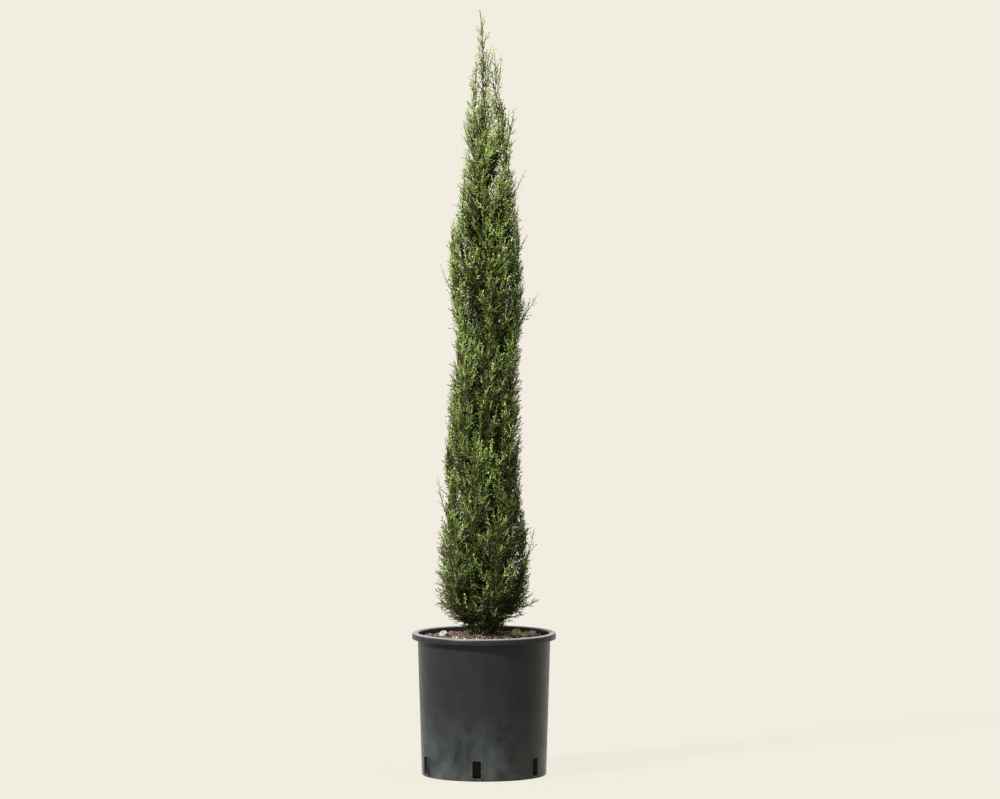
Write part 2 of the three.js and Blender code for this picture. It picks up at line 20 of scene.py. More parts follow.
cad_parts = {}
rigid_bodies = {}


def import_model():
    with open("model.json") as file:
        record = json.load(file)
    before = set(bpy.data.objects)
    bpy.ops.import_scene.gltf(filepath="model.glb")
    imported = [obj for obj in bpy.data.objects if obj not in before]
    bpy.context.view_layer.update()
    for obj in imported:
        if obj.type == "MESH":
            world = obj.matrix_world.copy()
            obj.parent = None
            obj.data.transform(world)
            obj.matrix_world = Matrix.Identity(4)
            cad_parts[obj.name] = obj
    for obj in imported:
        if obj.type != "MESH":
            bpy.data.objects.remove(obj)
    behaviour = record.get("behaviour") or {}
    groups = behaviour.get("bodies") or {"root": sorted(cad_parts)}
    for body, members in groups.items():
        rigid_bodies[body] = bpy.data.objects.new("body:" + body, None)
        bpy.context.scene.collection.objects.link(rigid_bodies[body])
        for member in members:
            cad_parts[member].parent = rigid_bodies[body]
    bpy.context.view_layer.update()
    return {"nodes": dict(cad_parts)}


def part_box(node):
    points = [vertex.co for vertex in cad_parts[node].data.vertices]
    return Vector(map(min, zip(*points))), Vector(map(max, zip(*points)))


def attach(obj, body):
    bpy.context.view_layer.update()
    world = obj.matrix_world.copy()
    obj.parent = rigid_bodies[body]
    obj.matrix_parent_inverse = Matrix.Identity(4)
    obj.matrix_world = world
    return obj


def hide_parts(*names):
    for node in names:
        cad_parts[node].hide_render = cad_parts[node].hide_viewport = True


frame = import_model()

logging.basicConfig(level=logging.INFO, format="%(message)s")
LOG = logging.getLogger("cypress")

MM = 0.001
BODY = "root"
# Each row of random numbers has a seed of its own. The layout's is the solids' too.
SEED = 1207
LAYOUT_SEED, CRUMB_SEED, MOSS_SEED, GRIT_SEED, SPRAY_SEED, TWIG_SEED = (
    SEED + step for step in (2, 21, 22, 23, 32, 33))
WORD = 0xFFFFFFFF
UP = np.array([0.0, 0.0, 1.0])
# Two directions that no limb and no twig grows along, to set what grows round them across.
LIMB_ASKEW = np.array([0.2, 1.0, 0.1])
TWIG_ASKEW = np.array([0.3, 0.9, 0.2])
GOLDEN_TURN = math.pi * (3.0 - math.sqrt(5.0))
# How far to either side a line's direction is read, as a share of its length.
NEARBY = 0.01
# A colour mix's inputs: its share, and the colours that it mixes.
SHARE, FIRST, SECOND = 0, 6, 7

Point = np.ndarray
Inputs = dict[str | int, Any]
Place = tuple[float, float]
Corner = tuple[float, float, float]


# ---- small tools


def linear(colour: str) -> tuple[float, float, float, float]:
    """Turns an sRGB hex colour into linear values.

    Args:
        colour: Six hex digits, with or without a leading hash.

    Returns:
        Linear red, green and blue, and an alpha of one.
    """
    digits = colour.lstrip("#")
    parts = [int(digits[i : i + 2], 16) / 255 for i in (0, 2, 4)]
    red, green, blue = (
        part / 12.92 if part <= 0.04045 else ((part + 0.055) / 1.055) ** 2.4 for part in parts
    )
    return red, green, blue, 1.0


def feed(tree: bpy.types.NodeTree, node: bpy.types.Node, inputs: Inputs) -> None:
    """Sets and links a node's inputs.

    Args:
        tree: The node tree that holds the node.
        node: The node.
        inputs: For each input's name or number, a value, or the output or the node that feeds
            it. A node feeds it from its first output in use.
    """
    for key, value in inputs.items():
        if isinstance(value, bpy.types.Node):
            value = next(output for output in value.outputs if output.enabled)
        if isinstance(value, bpy.types.NodeSocket):
            tree.links.new(value, node.inputs[key])
        else:
            node.inputs[key].default_value = value


def add(tree: bpy.types.NodeTree, kind: str, inputs: Inputs | None = None,
        **settings: Any) -> bpy.types.Node:
    """Adds a node with its settings and links.

    Args:
        tree: The node tree that gets the node.
        kind: The node's type name.
        inputs: What feeds its inputs.
        **settings: The node's own properties.

    Returns:
        The new node.
    """
    node = tree.nodes.new(kind)
    for name, value in settings.items():
        setattr(node, name, value)
    feed(tree, node, inputs or {})
    return node


def lerp(low: Any, high: Any, share: Any) -> Any:
    """The value at a share of the way from low to high."""
    return low + (high - low) * share


def unit(vectors: Point) -> Point:
    """Vectors scaled to a length of one."""
    return vectors / np.linalg.norm(vectors, axis=-1, keepdims=True)


def around(radius: float, bearing: float, height: float) -> Point:
    """The point at a distance and bearing, in degrees, from the Z axis, at a height."""
    turn = math.radians(bearing)
    return np.array([radius * math.cos(turn), radius * math.sin(turn), height])


class Seeded:
    """Random numbers from 0 to 1 that come out the same for the same seed.

    The solids' own numbers come from the same rule, so the plumes stand in the same places.
    """

    stride = 0x6D2B79F5

    def __init__(self, seed: int) -> None:
        """Starts the row of numbers at a seed."""
        self.state = seed & WORD

    def __call__(self) -> float:
        """The next number."""
        self.state = (self.state + self.stride) & WORD
        mixed = ((self.state ^ (self.state >> 15)) * (self.state | 1)) & WORD
        mixed ^= (mixed + (((mixed ^ (mixed >> 7)) * (mixed | 61)) & WORD)) & WORD
        return ((mixed ^ (mixed >> 14)) & WORD) / (WORD + 1)

    def either(self, reach: float) -> float:
        """A number up to reach on either side of zero."""
        return (2 * self() - 1) * reach


class Line:
    """A line through space that is read by share of its length."""

    def __init__(self, points: Point) -> None:
        """Takes the points that the line runs through, close together."""
        self.points = np.asarray(points, float)
        steps = np.linalg.norm(np.diff(self.points, axis=0), axis=1)
        self.reach = np.concatenate([[0.0], np.cumsum(steps)])

    @property
    def length(self) -> float:
        """The whole length."""
        return float(self.reach[-1])

    def at(self, shares: Any) -> Point:
        """The points at some shares of the length."""
        wanted = np.asarray(shares, float) * self.length
        return np.stack([np.interp(wanted, self.reach, axis) for axis in self.points.T], -1)

    def along(self, shares: Any) -> Point:
        """The directions of growth at some shares of the length."""
        shares = np.asarray(shares, float)
        ahead, behind = np.minimum(shares + NEARBY, 1), np.maximum(shares - NEARBY, 0)
        return unit(self.at(ahead) - self.at(behind))

    @classmethod
    def through(cls, corners: list[Point], steps: int = 60) -> "Line":
        """A smooth centripetal curve through a few corners.

        Args:
            corners: The points that the curve passes through.
            steps: How many pieces each stretch between corners is drawn with.

        Returns:
            The curve.
        """
        ends = [2 * corners[0] - corners[1], *corners, 2 * corners[-1] - corners[-2]]
        drawn = []
        for p0, p1, p2, p3 in zip(ends, ends[1:], ends[2:], ends[3:]):
            t0, t1, t2 = (math.sqrt(float(np.linalg.norm(b - a))) for a, b in
                          ((p0, p1), (p1, p2), (p2, p3)))
            leave = ((p1 - p0) / t0 - (p2 - p0) / (t0 + t1) + (p2 - p1) / t1) * t1
            enter = ((p2 - p1) / t1 - (p3 - p1) / (t1 + t2) + (p3 - p2) / t2) * t1
            t = np.linspace(0, 1, steps, endpoint=False)[:, None]
            square = (3 * (p2 - p1) - 2 * leave - enter) * t**2
            cube = (2 * (p1 - p2) + leave + enter) * t**3
            drawn.append(p1 + leave * t + square + cube)
        return cls(np.concatenate([*drawn, corners[-1][None]]))

    @classmethod
    def bent(cls, controls: list[Point], steps: int = 60) -> "Line":
        """A Bezier curve with three or four control points.

        Args:
            controls: The control points.
            steps: How many pieces it is drawn with.

        Returns:
            The curve.
        """
        t = np.linspace(0, 1, steps + 1)[:, None]
        degree = len(controls) - 1
        terms = [
            math.comb(degree, k) * t**k * (1 - t) ** (degree - k) * point
            for k, point in enumerate(controls)
        ]
        return cls(sum(terms))


def circle(radius: float, sides: int) -> list[Place]:
    """Places round the Z axis at a radius, evenly spaced from the X axis on."""
    angles = np.linspace(0, 2 * math.pi, sides, endpoint=False)
    return [(radius * math.cos(angle), radius * math.sin(angle)) for angle in angles]


def into_scene(name: str, data: bpy.types.ID) -> bpy.types.Object:
    """A new object with some data, linked to the scene."""
    piece = bpy.data.objects.new(name, data)
    bpy.context.scene.collection.objects.link(piece)
    return piece


def poured(name: str, shape: bmesh.types.BMesh) -> bpy.types.Mesh:
    """A new mesh with a shape's geometry. The shape is used up.

    Args:
        name: The mesh's name.
        shape: The shape.

    Returns:
        The mesh.
    """
    mesh = bpy.data.meshes.new(name)
    shape.to_mesh(mesh)
    shape.free()
    return mesh


def mesh_object(name: str, vertices: Iterable, faces: Iterable,
                smooth: bool = True) -> bpy.types.Object:
    """Makes an object at the origin from points in millimetres.

    Args:
        name: The object's name.
        vertices: The points.
        faces: The corners of each face, turned outwards.
        smooth: Whether the faces are shaded smooth.

    Returns:
        The linked object.
    """
    mesh = bpy.data.meshes.new(name)
    mesh.from_pydata((np.asarray(vertices) * MM).tolist(), [], [list(face) for face in faces])
    if smooth:
        mesh.shade_smooth()
    mesh.validate()
    return into_scene(name, mesh)


def ring_solid(name: str, rings: Sequence[Sequence[Any]], foot: Any,
               top: Any) -> bpy.types.Object:
    """Makes a closed solid from rings of points in millimetres.

    Args:
        name: The object's name.
        rings: The rings from foot to top, each counter-clockwise as seen from the top.
        foot: The point that closes the first ring.
        top: The point that closes the last ring.

    Returns:
        The linked object.
    """
    count, sides = len(rings), len(rings[0])
    steps = [(k, (k + 1) % sides) for k in range(sides)]
    faces = [(row + a, row + b, row + sides + b, row + sides + a)
             for row in range(0, (count - 1) * sides, sides) for a, b in steps]
    last, closing = (count - 1) * sides, count * sides
    faces += [(closing, b, a) for a, b in steps]
    faces += [(closing + 1, last + a, last + b) for a, b in steps]
    return mesh_object(name, [*np.reshape(rings, (-1, 3)), foot, top], faces)


def store(mesh: bpy.types.Mesh, label: str, form: str, values: Any) -> None:
    """Stores a value on each point of a mesh, under a label and in a data type."""
    layer = mesh.attributes.new(label, form, "POINT")
    layer.data.foreach_set("value", np.ravel(values).tolist())


def baked(piece: bpy.types.Object) -> bpy.types.Object:
    """Makes a piece's modifiers part of its mesh, and removes them.

    Args:
        piece: The object.

    Returns:
        The same object.
    """
    piece.update_tag()
    graph = bpy.context.evaluated_depsgraph_get()
    mesh = bpy.data.meshes.new_from_object(piece.evaluated_get(graph), depsgraph=graph)
    piece.modifiers.clear()
    piece.data = mesh
    mesh.name = piece.name
    return piece


def attach_tree(piece: bpy.types.Object, tree: bpy.types.NodeTree,
                values: dict[str, Any]) -> None:
    """Adds a Geometry Nodes modifier and sets its inputs by their sockets' identifiers.

    Args:
        piece: The object that gets the modifier.
        tree: The node tree.
        values: The inputs' values by name.
    """
    modifier = piece.modifiers.new(tree.name, "NODES")
    modifier.node_group = tree
    for item in tree.interface.items_tree:
        if item.item_type == "SOCKET" and item.in_out == "INPUT" and item.name in values:
            modifier[item.identifier] = values[item.name]


def new_tree(name: str, inputs: dict[str, str]) -> tuple[
        bpy.types.NodeTree, bpy.types.Node, bpy.types.Node]:
    """Starts a Geometry Nodes tree.

    Args:
        name: The tree's name.
        inputs: The socket type of each input by name, after the incoming geometry.

    Returns:
        The tree, its group input node and its group output node.
    """
    tree = bpy.data.node_groups.new(name, "GeometryNodeTree")
    for side in ("INPUT", "OUTPUT"):
        tree.interface.new_socket("Geometry", in_out=side, socket_type="NodeSocketGeometry")
    for label, kind in inputs.items():
        tree.interface.new_socket(label, in_out="INPUT", socket_type=kind)
    return tree, add(tree, "NodeGroupInput"), add(tree, "NodeGroupOutput")


def end_tree(tree: bpy.types.NodeTree, geometry: bpy.types.Node, finish: bpy.types.NodeSocket,
             result: bpy.types.Node) -> bpy.types.NodeTree:
    """Ends a Geometry Nodes tree with plain geometry in its finish.

    Args:
        tree: The tree.
        geometry: The node that makes the geometry.
        finish: The material's output.
        result: The group output node.

    Returns:
        The tree.
    """
    solid = add(tree, "GeometryNodeRealizeInstances", {"Geometry": geometry})
    dressed = add(tree, "GeometryNodeSetMaterial", {"Geometry": solid, "Material": finish})
    feed(tree, result, {0: dressed})
    return tree


# ---- finishes


def new_material(name: str) -> tuple[
        bpy.types.Material, bpy.types.NodeTree, bpy.types.Node, bpy.types.NodeSocket]:
    """Starts a material with a principled shader.

    Args:
        name: The material's name.

    Returns:
        The material, its node tree, its shader and its Object coordinates.
    """
    material = bpy.data.materials.new(name)
    material.use_nodes = True
    tree = material.node_tree
    shader = tree.nodes["Principled BSDF"]
    place = add(tree, "ShaderNodeTexCoord").outputs["Object"]
    return material, tree, shader, place


def per_metre(size: float) -> float:
    """The texture scale that repeats a pattern about once every size, in millimetres."""
    return 1000.0 / size


@dataclass(frozen=True)
class BlackPolypropylene:
    """Injection-moulded black polypropylene, scuffed by handling.

    The moulding leaves a satin skin with a faint ripple, so its edges catch light in long soft
    bands. Carbon black gives it a cool grey cast, and dust lies greyer low on the wall. A light
    grey along the top of the rim is a painted highlight.
    """

    name: str = "moulded_black_polypropylene"
    skin: str = "#101213"
    worn: str = "#1b1f21"
    dust: str = "#5a615e"
    dust_share: tuple[float, float] = (0.56, 0.05)
    dust_height: float = 145.0
    dust_patch: float = 34.0
    dust_stretch: float = 0.7
    dust_spread: tuple[float, float] = (0.28, 0.74)
    # Painted highlight: between two heights, the top edge of the rim is mixed up to a share
    # towards this light grey.
    lip_highlight: str = "#8d9598"
    lip_highlight_share: float = 0.6
    lip_highlight_height: tuple[float, float] = (275.8, 277.6)
    ior: float = 1.49
    shine: float = 0.22
    roughness: tuple[float, float] = (0.26, 0.42)
    ripple: float = 9.0
    ripple_depth: float = 0.6
    grain: float = 0.9
    grain_depth: float = 0.1
    scuff: float = 22.0

    def material(self) -> bpy.types.Material:
        """Builds the material.

        Returns:
            The material.
        """
        material, tree, shader, place = new_material(self.name)
        scuff = add(tree, "ShaderNodeTexNoise", {
            "Vector": place, "Scale": per_metre(self.scuff), "Detail": 7.0, "Roughness": 0.65})
        drawn = add(tree, "ShaderNodeMapping", {
            "Vector": place, "Scale": (1.0, 1.0, self.dust_stretch)})
        smear = add(tree, "ShaderNodeTexNoise", {
            "Vector": drawn, "Scale": per_metre(self.dust_patch), "Detail": 4.0, "Roughness": 0.6})
        height = add(tree, "ShaderNodeSeparateXYZ", {"Vector": place}).outputs["Z"]
        low = add(tree, "ShaderNodeMapRange", {
            "Value": height, "From Min": 0.0, "From Max": self.dust_height * MM,
            "To Min": self.dust_share[0], "To Max": self.dust_share[1]})
        patchy = add(tree, "ShaderNodeMapRange", {
            "Value": smear, "From Min": self.dust_spread[0], "From Max": self.dust_spread[1]})
        dusty = add(tree, "ShaderNodeMath", {0: low, 1: patchy}, operation="MULTIPLY")
        skin = add(tree, "ShaderNodeMix", {
            SHARE: scuff, FIRST: linear(self.skin), SECOND: linear(self.worn)}, data_type="RGBA")
        colour = add(tree, "ShaderNodeMix", {
            SHARE: dusty, FIRST: skin, SECOND: linear(self.dust)}, data_type="RGBA")
        # Painted highlight: the colour turns light grey along the top of the rim.
        top = add(tree, "ShaderNodeMapRange", {
            "Value": height, "From Min": self.lip_highlight_height[0] * MM,
            "From Max": self.lip_highlight_height[1] * MM, "To Max": self.lip_highlight_share})
        lip_highlighted = add(tree, "ShaderNodeMix", {
            SHARE: top, FIRST: colour, SECOND: linear(self.lip_highlight)}, data_type="RGBA")
        gloss = add(tree, "ShaderNodeMapRange", {
            "Value": scuff, "From Min": 0.3, "From Max": 0.7,
            "To Min": self.roughness[0], "To Max": self.roughness[1]})
        ripple, grain = (
            add(tree, "ShaderNodeTexNoise", {
                "Vector": place, "Scale": per_metre(size), "Detail": 2.0})
            for size in (self.ripple, self.grain))
        wave = add(tree, "ShaderNodeBump", {
            "Height": ripple, "Strength": 0.25, "Distance": self.ripple_depth * MM})
        bump = add(tree, "ShaderNodeBump", {
            "Height": grain, "Strength": 0.3, "Distance": self.grain_depth * MM, "Normal": wave})
        feed(tree, shader, {
            "Base Color": lip_highlighted, "Roughness": gloss, "Normal": bump, "IOR": self.ior,
            "Specular IOR Level": self.shine})
        return material


@dataclass(frozen=True)
class Earthen:
    """A matt, broken, natural stuff: potting mix, peat crumbs, pebbles or a twig's young bark.

    Two mixed colours in patches keep it from reading as one paint, and a coarse bump gives each
    grain its shadow side.
    """

    name: str
    dark: str
    light: str
    patch: float
    grit: float
    relief: float
    roughness: float = 0.92
    shine: float = 0.25

    def material(self) -> bpy.types.Material:
        """Builds the material.

        Returns:
            The material.
        """
        material, tree, shader, place = new_material(self.name)
        patch = add(tree, "ShaderNodeTexNoise", {
            "Vector": place, "Scale": per_metre(self.patch), "Detail": 6.0, "Roughness": 0.7})
        share = add(tree, "ShaderNodeMapRange", {
            "Value": patch, "From Min": 0.35, "From Max": 0.68})
        colour = add(tree, "ShaderNodeMix", {
            SHARE: share, FIRST: linear(self.dark), SECOND: linear(self.light)}, data_type="RGBA")
        grit = add(tree, "ShaderNodeTexNoise", {
            "Vector": place, "Scale": per_metre(self.grit), "Detail": 5.0, "Roughness": 0.6})
        bump = add(tree, "ShaderNodeBump", {
            "Height": grit, "Strength": 0.9, "Distance": self.relief * MM})
        feed(tree, shader, {
            "Base Color": colour, "Normal": bump, "Roughness": self.roughness,
            "Specular IOR Level": self.shine})
        return material


class Natural(Enum):
    """The natural stuffs in the pot, and the bark of the young twigs."""

    MIX = Earthen("peat_potting_mix", "#0f0c0a", "#2b221b", patch=9.0, grit=3.0, relief=1.2)
    CRUMB = Earthen("bark_and_peat_crumbs", "#1c1612", "#857261", patch=5.0, grit=1.4,
                    relief=0.4)
    STONE = Earthen("limestone_pebble", "#6f6d65", "#b8b5a9", patch=7.0, grit=1.1, relief=0.3,
                    roughness=0.8)
    MOSS = Earthen("cushion_moss", "#a39d55", "#e4dd9c", patch=6.0, grit=1.0, relief=0.2,
                   roughness=0.8)
    PERLITE = Earthen("perlite", "#b9b2a4", "#e2ddd2", patch=2.0, grit=0.6, relief=0.1,
                      roughness=0.9)
    TWIG = Earthen("young_cypress_twig", "#2f2a18", "#5f5632", patch=8.0, grit=1.5, relief=0.3,
                   roughness=0.8)


@dataclass(frozen=True)
class StringyBark:
    """Thin cypress bark that splits in long fibres.

    Red-brown lies in the furrows and grey on the weathered ridges, in streaks along the limb.
    """

    name: str = "stringy_cypress_bark"
    furrow: str = "#3c2a20"
    ridge: str = "#7d6653"
    fibre: float = 2.2
    fibre_stretch: float = 0.09
    blotch: float = 18.0
    relief: float = 0.7
    roughness: float = 0.88
    shine: float = 0.3

    def material(self) -> bpy.types.Material:
        """Builds the material.

        Returns:
            The material.
        """
        material, tree, shader, place = new_material(self.name)
        drawn = add(tree, "ShaderNodeMapping", {
            "Vector": place, "Scale": (1.0, 1.0, self.fibre_stretch)})
        fibre = add(tree, "ShaderNodeTexNoise", {
            "Vector": drawn, "Scale": per_metre(self.fibre), "Detail": 5.0, "Roughness": 0.6})
        blotch = add(tree, "ShaderNodeTexNoise", {
            "Vector": place, "Scale": per_metre(self.blotch), "Detail": 3.0})
        share = add(tree, "ShaderNodeMath", {0: fibre, 1: blotch}, operation="MULTIPLY")
        spread = add(tree, "ShaderNodeMapRange", {
            "Value": share, "From Min": 0.14, "From Max": 0.38})
        colour = add(tree, "ShaderNodeMix", {
            SHARE: spread, FIRST: linear(self.furrow), SECOND: linear(self.ridge)},
            data_type="RGBA")
        bump = add(tree, "ShaderNodeBump", {
            "Height": fibre, "Strength": 0.9, "Distance": self.relief * MM})
        feed(tree, shader, {
            "Base Color": colour, "Normal": bump, "Roughness": self.roughness,
            "Specular IOR Level": self.shine})
        return material


@dataclass(frozen=True)
class ScaleLeaf:
    """Twiglets clothed in tiny overlapping scale leaves under a thin wax.

    Each tint is one plain colour, and tints are dealt out by spray. The scales show as a fine
    bump and the wax as a soft gloss, drawn a little coarser than life so that they show.
    """

    name: str
    colour: str
    roughness: float = 0.54
    roughness_range: tuple[float, float] = (0.08, 0.12)
    shine: float = 0.34
    scale_leaf: float = 1.6
    relief: float = 0.35
    wax: float = 12.0

    def material(self) -> bpy.types.Material:
        """Builds the material.

        Returns:
            The material.
        """
        material, tree, shader, place = new_material(self.name)
        scales = add(tree, "ShaderNodeTexVoronoi", {
            "Vector": place, "Scale": per_metre(self.scale_leaf)})
        wax = add(tree, "ShaderNodeTexNoise", {"Vector": place, "Scale": per_metre(self.wax)})
        gloss = add(tree, "ShaderNodeMapRange", {
            "Value": wax, "From Min": 0.3, "From Max": 0.7,
            "To Min": self.roughness - self.roughness_range[0],
            "To Max": self.roughness + self.roughness_range[1]})
        bump = add(tree, "ShaderNodeBump", {
            "Height": scales, "Strength": 0.6, "Distance": self.relief * MM})
        feed(tree, shader, {
            "Base Color": linear(self.colour), "Roughness": gloss, "Normal": bump,
            "Specular IOR Level": self.shine})
        return material


class Tint(Enum):
    """The tints of the foliage, from the freshest growth to the oldest."""

    FRESH = ScaleLeaf("scale_leaf_fresh", "#a4b66d")
    BRIGHT = ScaleLeaf("scale_leaf_bright", "#798f47")
    MIDDLE = ScaleLeaf("scale_leaf_middle", "#566b20")
    OLIVE = ScaleLeaf("scale_leaf_olive", "#555b36")
    DEEP = ScaleLeaf("scale_leaf_deep", "#2d3a0f")
    RUSSET = ScaleLeaf("scale_leaf_russet", "#56452d", roughness=0.68)


# ---- pot


@dataclass
class NurseryPot:
    """A round container with a rolled rim and drain slots low in its wall."""

    height: float = 278.0
    rim_radius: float = 140.0
    top_radius: float = 129.0
    base_radius: float = 121.0
    wall: float = 2.4
    floor: float = 4.0
    rim_drop: float = 12.0
    rim_wall: float = 2.2
    collar_swell: float = 0.4
    collar_rounding: float = 1.2
    eave_rounding: float = 2.0
    hem_rounding: tuple[float, float] = (0.7, 1.2)
    lip_top: float = 5.0
    lip_rounding: float = 5.0
    mouth_flare: float = 0.6
    mouth_rounding: float = 3.4
    foot_bevel: float = 3.0
    most_of_side: float = 0.49
    sides: int = 192
    corner_steps: int = 5
    slots: int = 6
    slot_bearing: float = -96.5
    slot_width: float = 17.0
    slot_height: float = 34.0
    slot_sill: float = 6.0
    slot_frame: float = 2.6
    slot_proud: float = 1.1
    slot_corner: float = 2.2
    slot_steps: int = 4
    frame_corner: float = 3.1
    crease: float = 35.0

    def profile(self) -> list[Corner]:
        """The section's corners as radius, height and corner rounding.

        Returns:
            The corners, from the middle of the foot to the middle of the floor.
        """
        foot = self.height - self.rim_drop
        under = self.height - 2 * self.rim_wall
        top, base, rim = self.top_radius, self.base_radius, self.rim_radius
        return [
            (0.0, 0.0, 0.0),
            (base, 0.0, self.foot_bevel),
            (top, foot, 0.0),
            (top + self.collar_swell, under, self.collar_rounding),
            (rim - self.rim_wall, under, self.eave_rounding),
            (rim - self.rim_wall, foot, self.hem_rounding[0]),
            (rim, foot, self.hem_rounding[1]),
            (rim, self.height, self.lip_rounding),
            (top - self.wall + self.mouth_flare, self.height, self.mouth_rounding),
            (base - self.wall, self.floor, self.foot_bevel),
            (0.0, self.floor, 0.0),
        ]

    def rounded(self) -> list[Place]:
        """The section with its corners rounded off.

        Returns:
            The points as radius and height.
        """
        corners = self.profile()
        points = [(corners[0][0], corners[0][1])]
        for before, here, after in zip(corners, corners[1:], corners[2:]):
            points += self.round_corner(before, here, after)
        return [*points, (corners[-1][0], corners[-1][1])]

    def round_corner(self, before: Corner, here: Corner, after: Corner) -> list[Place]:
        """The points that take a corner of the section round.

        Args:
            before: The corner before it.
            here: The corner itself.
            after: The corner after it.

        Returns:
            The points, from the side before to the side after.
        """
        middle = np.array(here[:2])
        into, out = np.array(before[:2]) - middle, np.array(after[:2]) - middle
        reach = min(here[2], self.most_of_side * np.linalg.norm(into),
                    self.most_of_side * np.linalg.norm(out))
        if reach <= 0:
            return [tuple(middle)]
        start, end = middle + unit(into) * reach, middle + unit(out) * reach
        shares = np.linspace(0, 1, self.corner_steps)
        return [
            tuple(start * (1 - t) ** 2 + 2 * middle * t * (1 - t) + end * t**2) for t in shares
        ]

    def shell(self) -> bpy.types.Object:
        """Turns the section round the axis into a closed shell."""
        rings = [[(x, y, height) for x, y in circle(radius, self.sides)]
                 for radius, height in self.rounded()[1:-1]]
        return ring_solid("pot_shell", rings, (0.0, 0.0, 0.0), (0.0, 0.0, self.floor))

    def wall_at(self, height: float) -> float:
        """Outside radius of the wall at a height."""
        return lerp(self.base_radius, self.top_radius, height / (self.height - self.rim_drop))

    def block(self, name: str, width: float, height: float, depth: float,
              corner: float) -> bpy.types.Object:
        """Blocks with rounded upright edges, one across the wall at each drain slot.

        Args:
            name: The object's name.
            width: Size round the wall.
            height: Size up the wall.
            depth: How far the block reaches either side of the wall's outside.
            corner: Rounding of the corners seen from outside.

        Returns:
            One object with every block.
        """
        middle = self.slot_sill + self.slot_height / 2
        radius = self.wall_at(middle)
        shape = bmesh.new()
        for k in range(self.slots):
            bearing = self.slot_bearing + 360 * k / self.slots
            outward, across = around(1, bearing, 0), around(1, bearing + 90, 0)
            outline = []
            for sx, sz in ((1, 1), (-1, 1), (-1, -1), (1, -1)):
                start = math.atan2(sz, sx) - math.pi / 4
                for step in range(self.slot_steps + 1):
                    turn = start + step * math.pi / 2 / self.slot_steps
                    u = sx * (width / 2 - corner) + corner * math.cos(turn)
                    v = sz * (height / 2 - corner) + corner * math.sin(turn)
                    outline.append(across * u + UP * (middle + v))
            inner, outer = (
                [shape.verts.new((point + outward * (radius + reach)) * MM) for point in outline]
                for reach in (-depth, depth)
            )
            shape.faces.new(outer)
            shape.faces.new(inner[::-1])
            for i in range(len(outline)):
                j = (i + 1) % len(outline)
                shape.faces.new((outer[j], outer[i], inner[i], inner[j]))
        bmesh.ops.recalc_face_normals(shape, faces=shape.faces)
        return into_scene(name, poured(name, shape))

    def build(self, finish: BlackPolypropylene) -> bpy.types.Object:
        """Makes the pot, with framed drain slots cut through its wall.

        Args:
            finish: The pot's finish.

        Returns:
            The finished piece.
        """
        pot = self.shell()
        border = 2 * self.slot_frame
        frames = self.block("slot_frames", self.slot_width + border,
                            self.slot_height + border, self.slot_proud, self.frame_corner)
        cuts = self.block("slot_cuts", self.slot_width, self.slot_height, 4 * self.wall,
                          self.slot_corner)
        for tool, operation in ((frames, "UNION"), (cuts, "DIFFERENCE")):
            step = pot.modifiers.new(tool.name, "BOOLEAN")
            step.object, step.operation, step.solver = tool, operation, "EXACT"
            baked(pot)
            bpy.data.objects.remove(tool)
        pot.name = pot.data.name = "nursery_pot"
        pot.data.shade_smooth()
        pot.data.set_sharp_from_angle(angle=math.radians(self.crease))
        pot.data.materials.append(finish.material())
        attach(pot, BODY)
        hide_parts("pot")
        return pot


# ---- things set out on points


def planting_tree() -> bpy.types.NodeTree:
    """A tree that sets copies of a collection's objects on points.

    Each point names its copy's kind, turn and size.

    Returns:
        The tree, with its Stock and its Finish as inputs.
    """
    tree, given, result = new_tree(
        "planting", {"Stock": "NodeSocketCollection", "Finish": "NodeSocketMaterial"})
    stock = add(tree, "GeometryNodeCollectionInfo", {
        "Collection": given.outputs["Stock"], "Separate Children": True,
        "Reset Children": True})
    kind, turn, size = (
        add(tree, "GeometryNodeInputNamedAttribute", {"Name": name}, data_type=form)
        for name, form in (("kind", "INT"), ("turn", "QUATERNION"), ("size", "FLOAT")))
    copies = add(tree, "GeometryNodeInstanceOnPoints", {
        "Points": given.outputs["Geometry"], "Instance": stock, "Pick Instance": True,
        "Instance Index": kind, "Rotation": turn, "Scale": size})
    return end_tree(tree, copies, given.outputs["Finish"], result)


def turns(headings: Point, spins: Point) -> Point:
    """The quaternions that stand +Z along each heading, after a spin round it.

    Args:
        headings: The headings, as rows.
        spins: The spins, in radians.

    Returns:
        A row for each heading.
    """
    ways = unit(headings)
    lean = np.arccos(np.clip(ways[:, 2], -1, 1)) / 2
    bearing = np.arctan2(ways[:, 1], ways[:, 0]) / 2
    spin = spins / 2 - bearing
    cos, sin = np.cos(lean), np.sin(lean)
    return np.stack([
        cos * np.cos(bearing + spin), sin * np.sin(spin - bearing),
        sin * np.cos(bearing - spin), cos * np.sin(bearing + spin)], -1)


@dataclass
class Planting:
    """Copies to set out.

    Each has its place, the way its +Z points, its spin round that in radians, its scale, and the
    number of the pattern that it copies.
    """

    copies: list[tuple[Point, Point, float, float, int]] = field(default_factory=list)

    def share(self, part: int, parts: int) -> "Planting":
        """One of several equal shares of the copies."""
        return Planting(self.copies[part::parts])

    def grown(self, name: str, stock: bpy.types.Collection, tree: bpy.types.NodeTree,
              finish: bpy.types.Material) -> bpy.types.Object:
        """Sets the copies out and turns the result into a plain mesh.

        Args:
            name: The piece's name.
            stock: The objects that the copies are made from.
            tree: The planting tree.
            finish: The material of every copy.

        Returns:
            The piece.
        """
        places, headings, spins, sizes, kinds = zip(*self.copies)
        piece = mesh_object(name, places, [], smooth=False)
        store(piece.data, "turn", "QUATERNION", turns(np.array(headings), np.array(spins)))
        store(piece.data, "size", "FLOAT", sizes)
        store(piece.data, "kind", "INT", kinds)
        attach_tree(piece, tree, {"Stock": stock, "Finish": finish})
        return baked(piece)


# ---- soil and stones


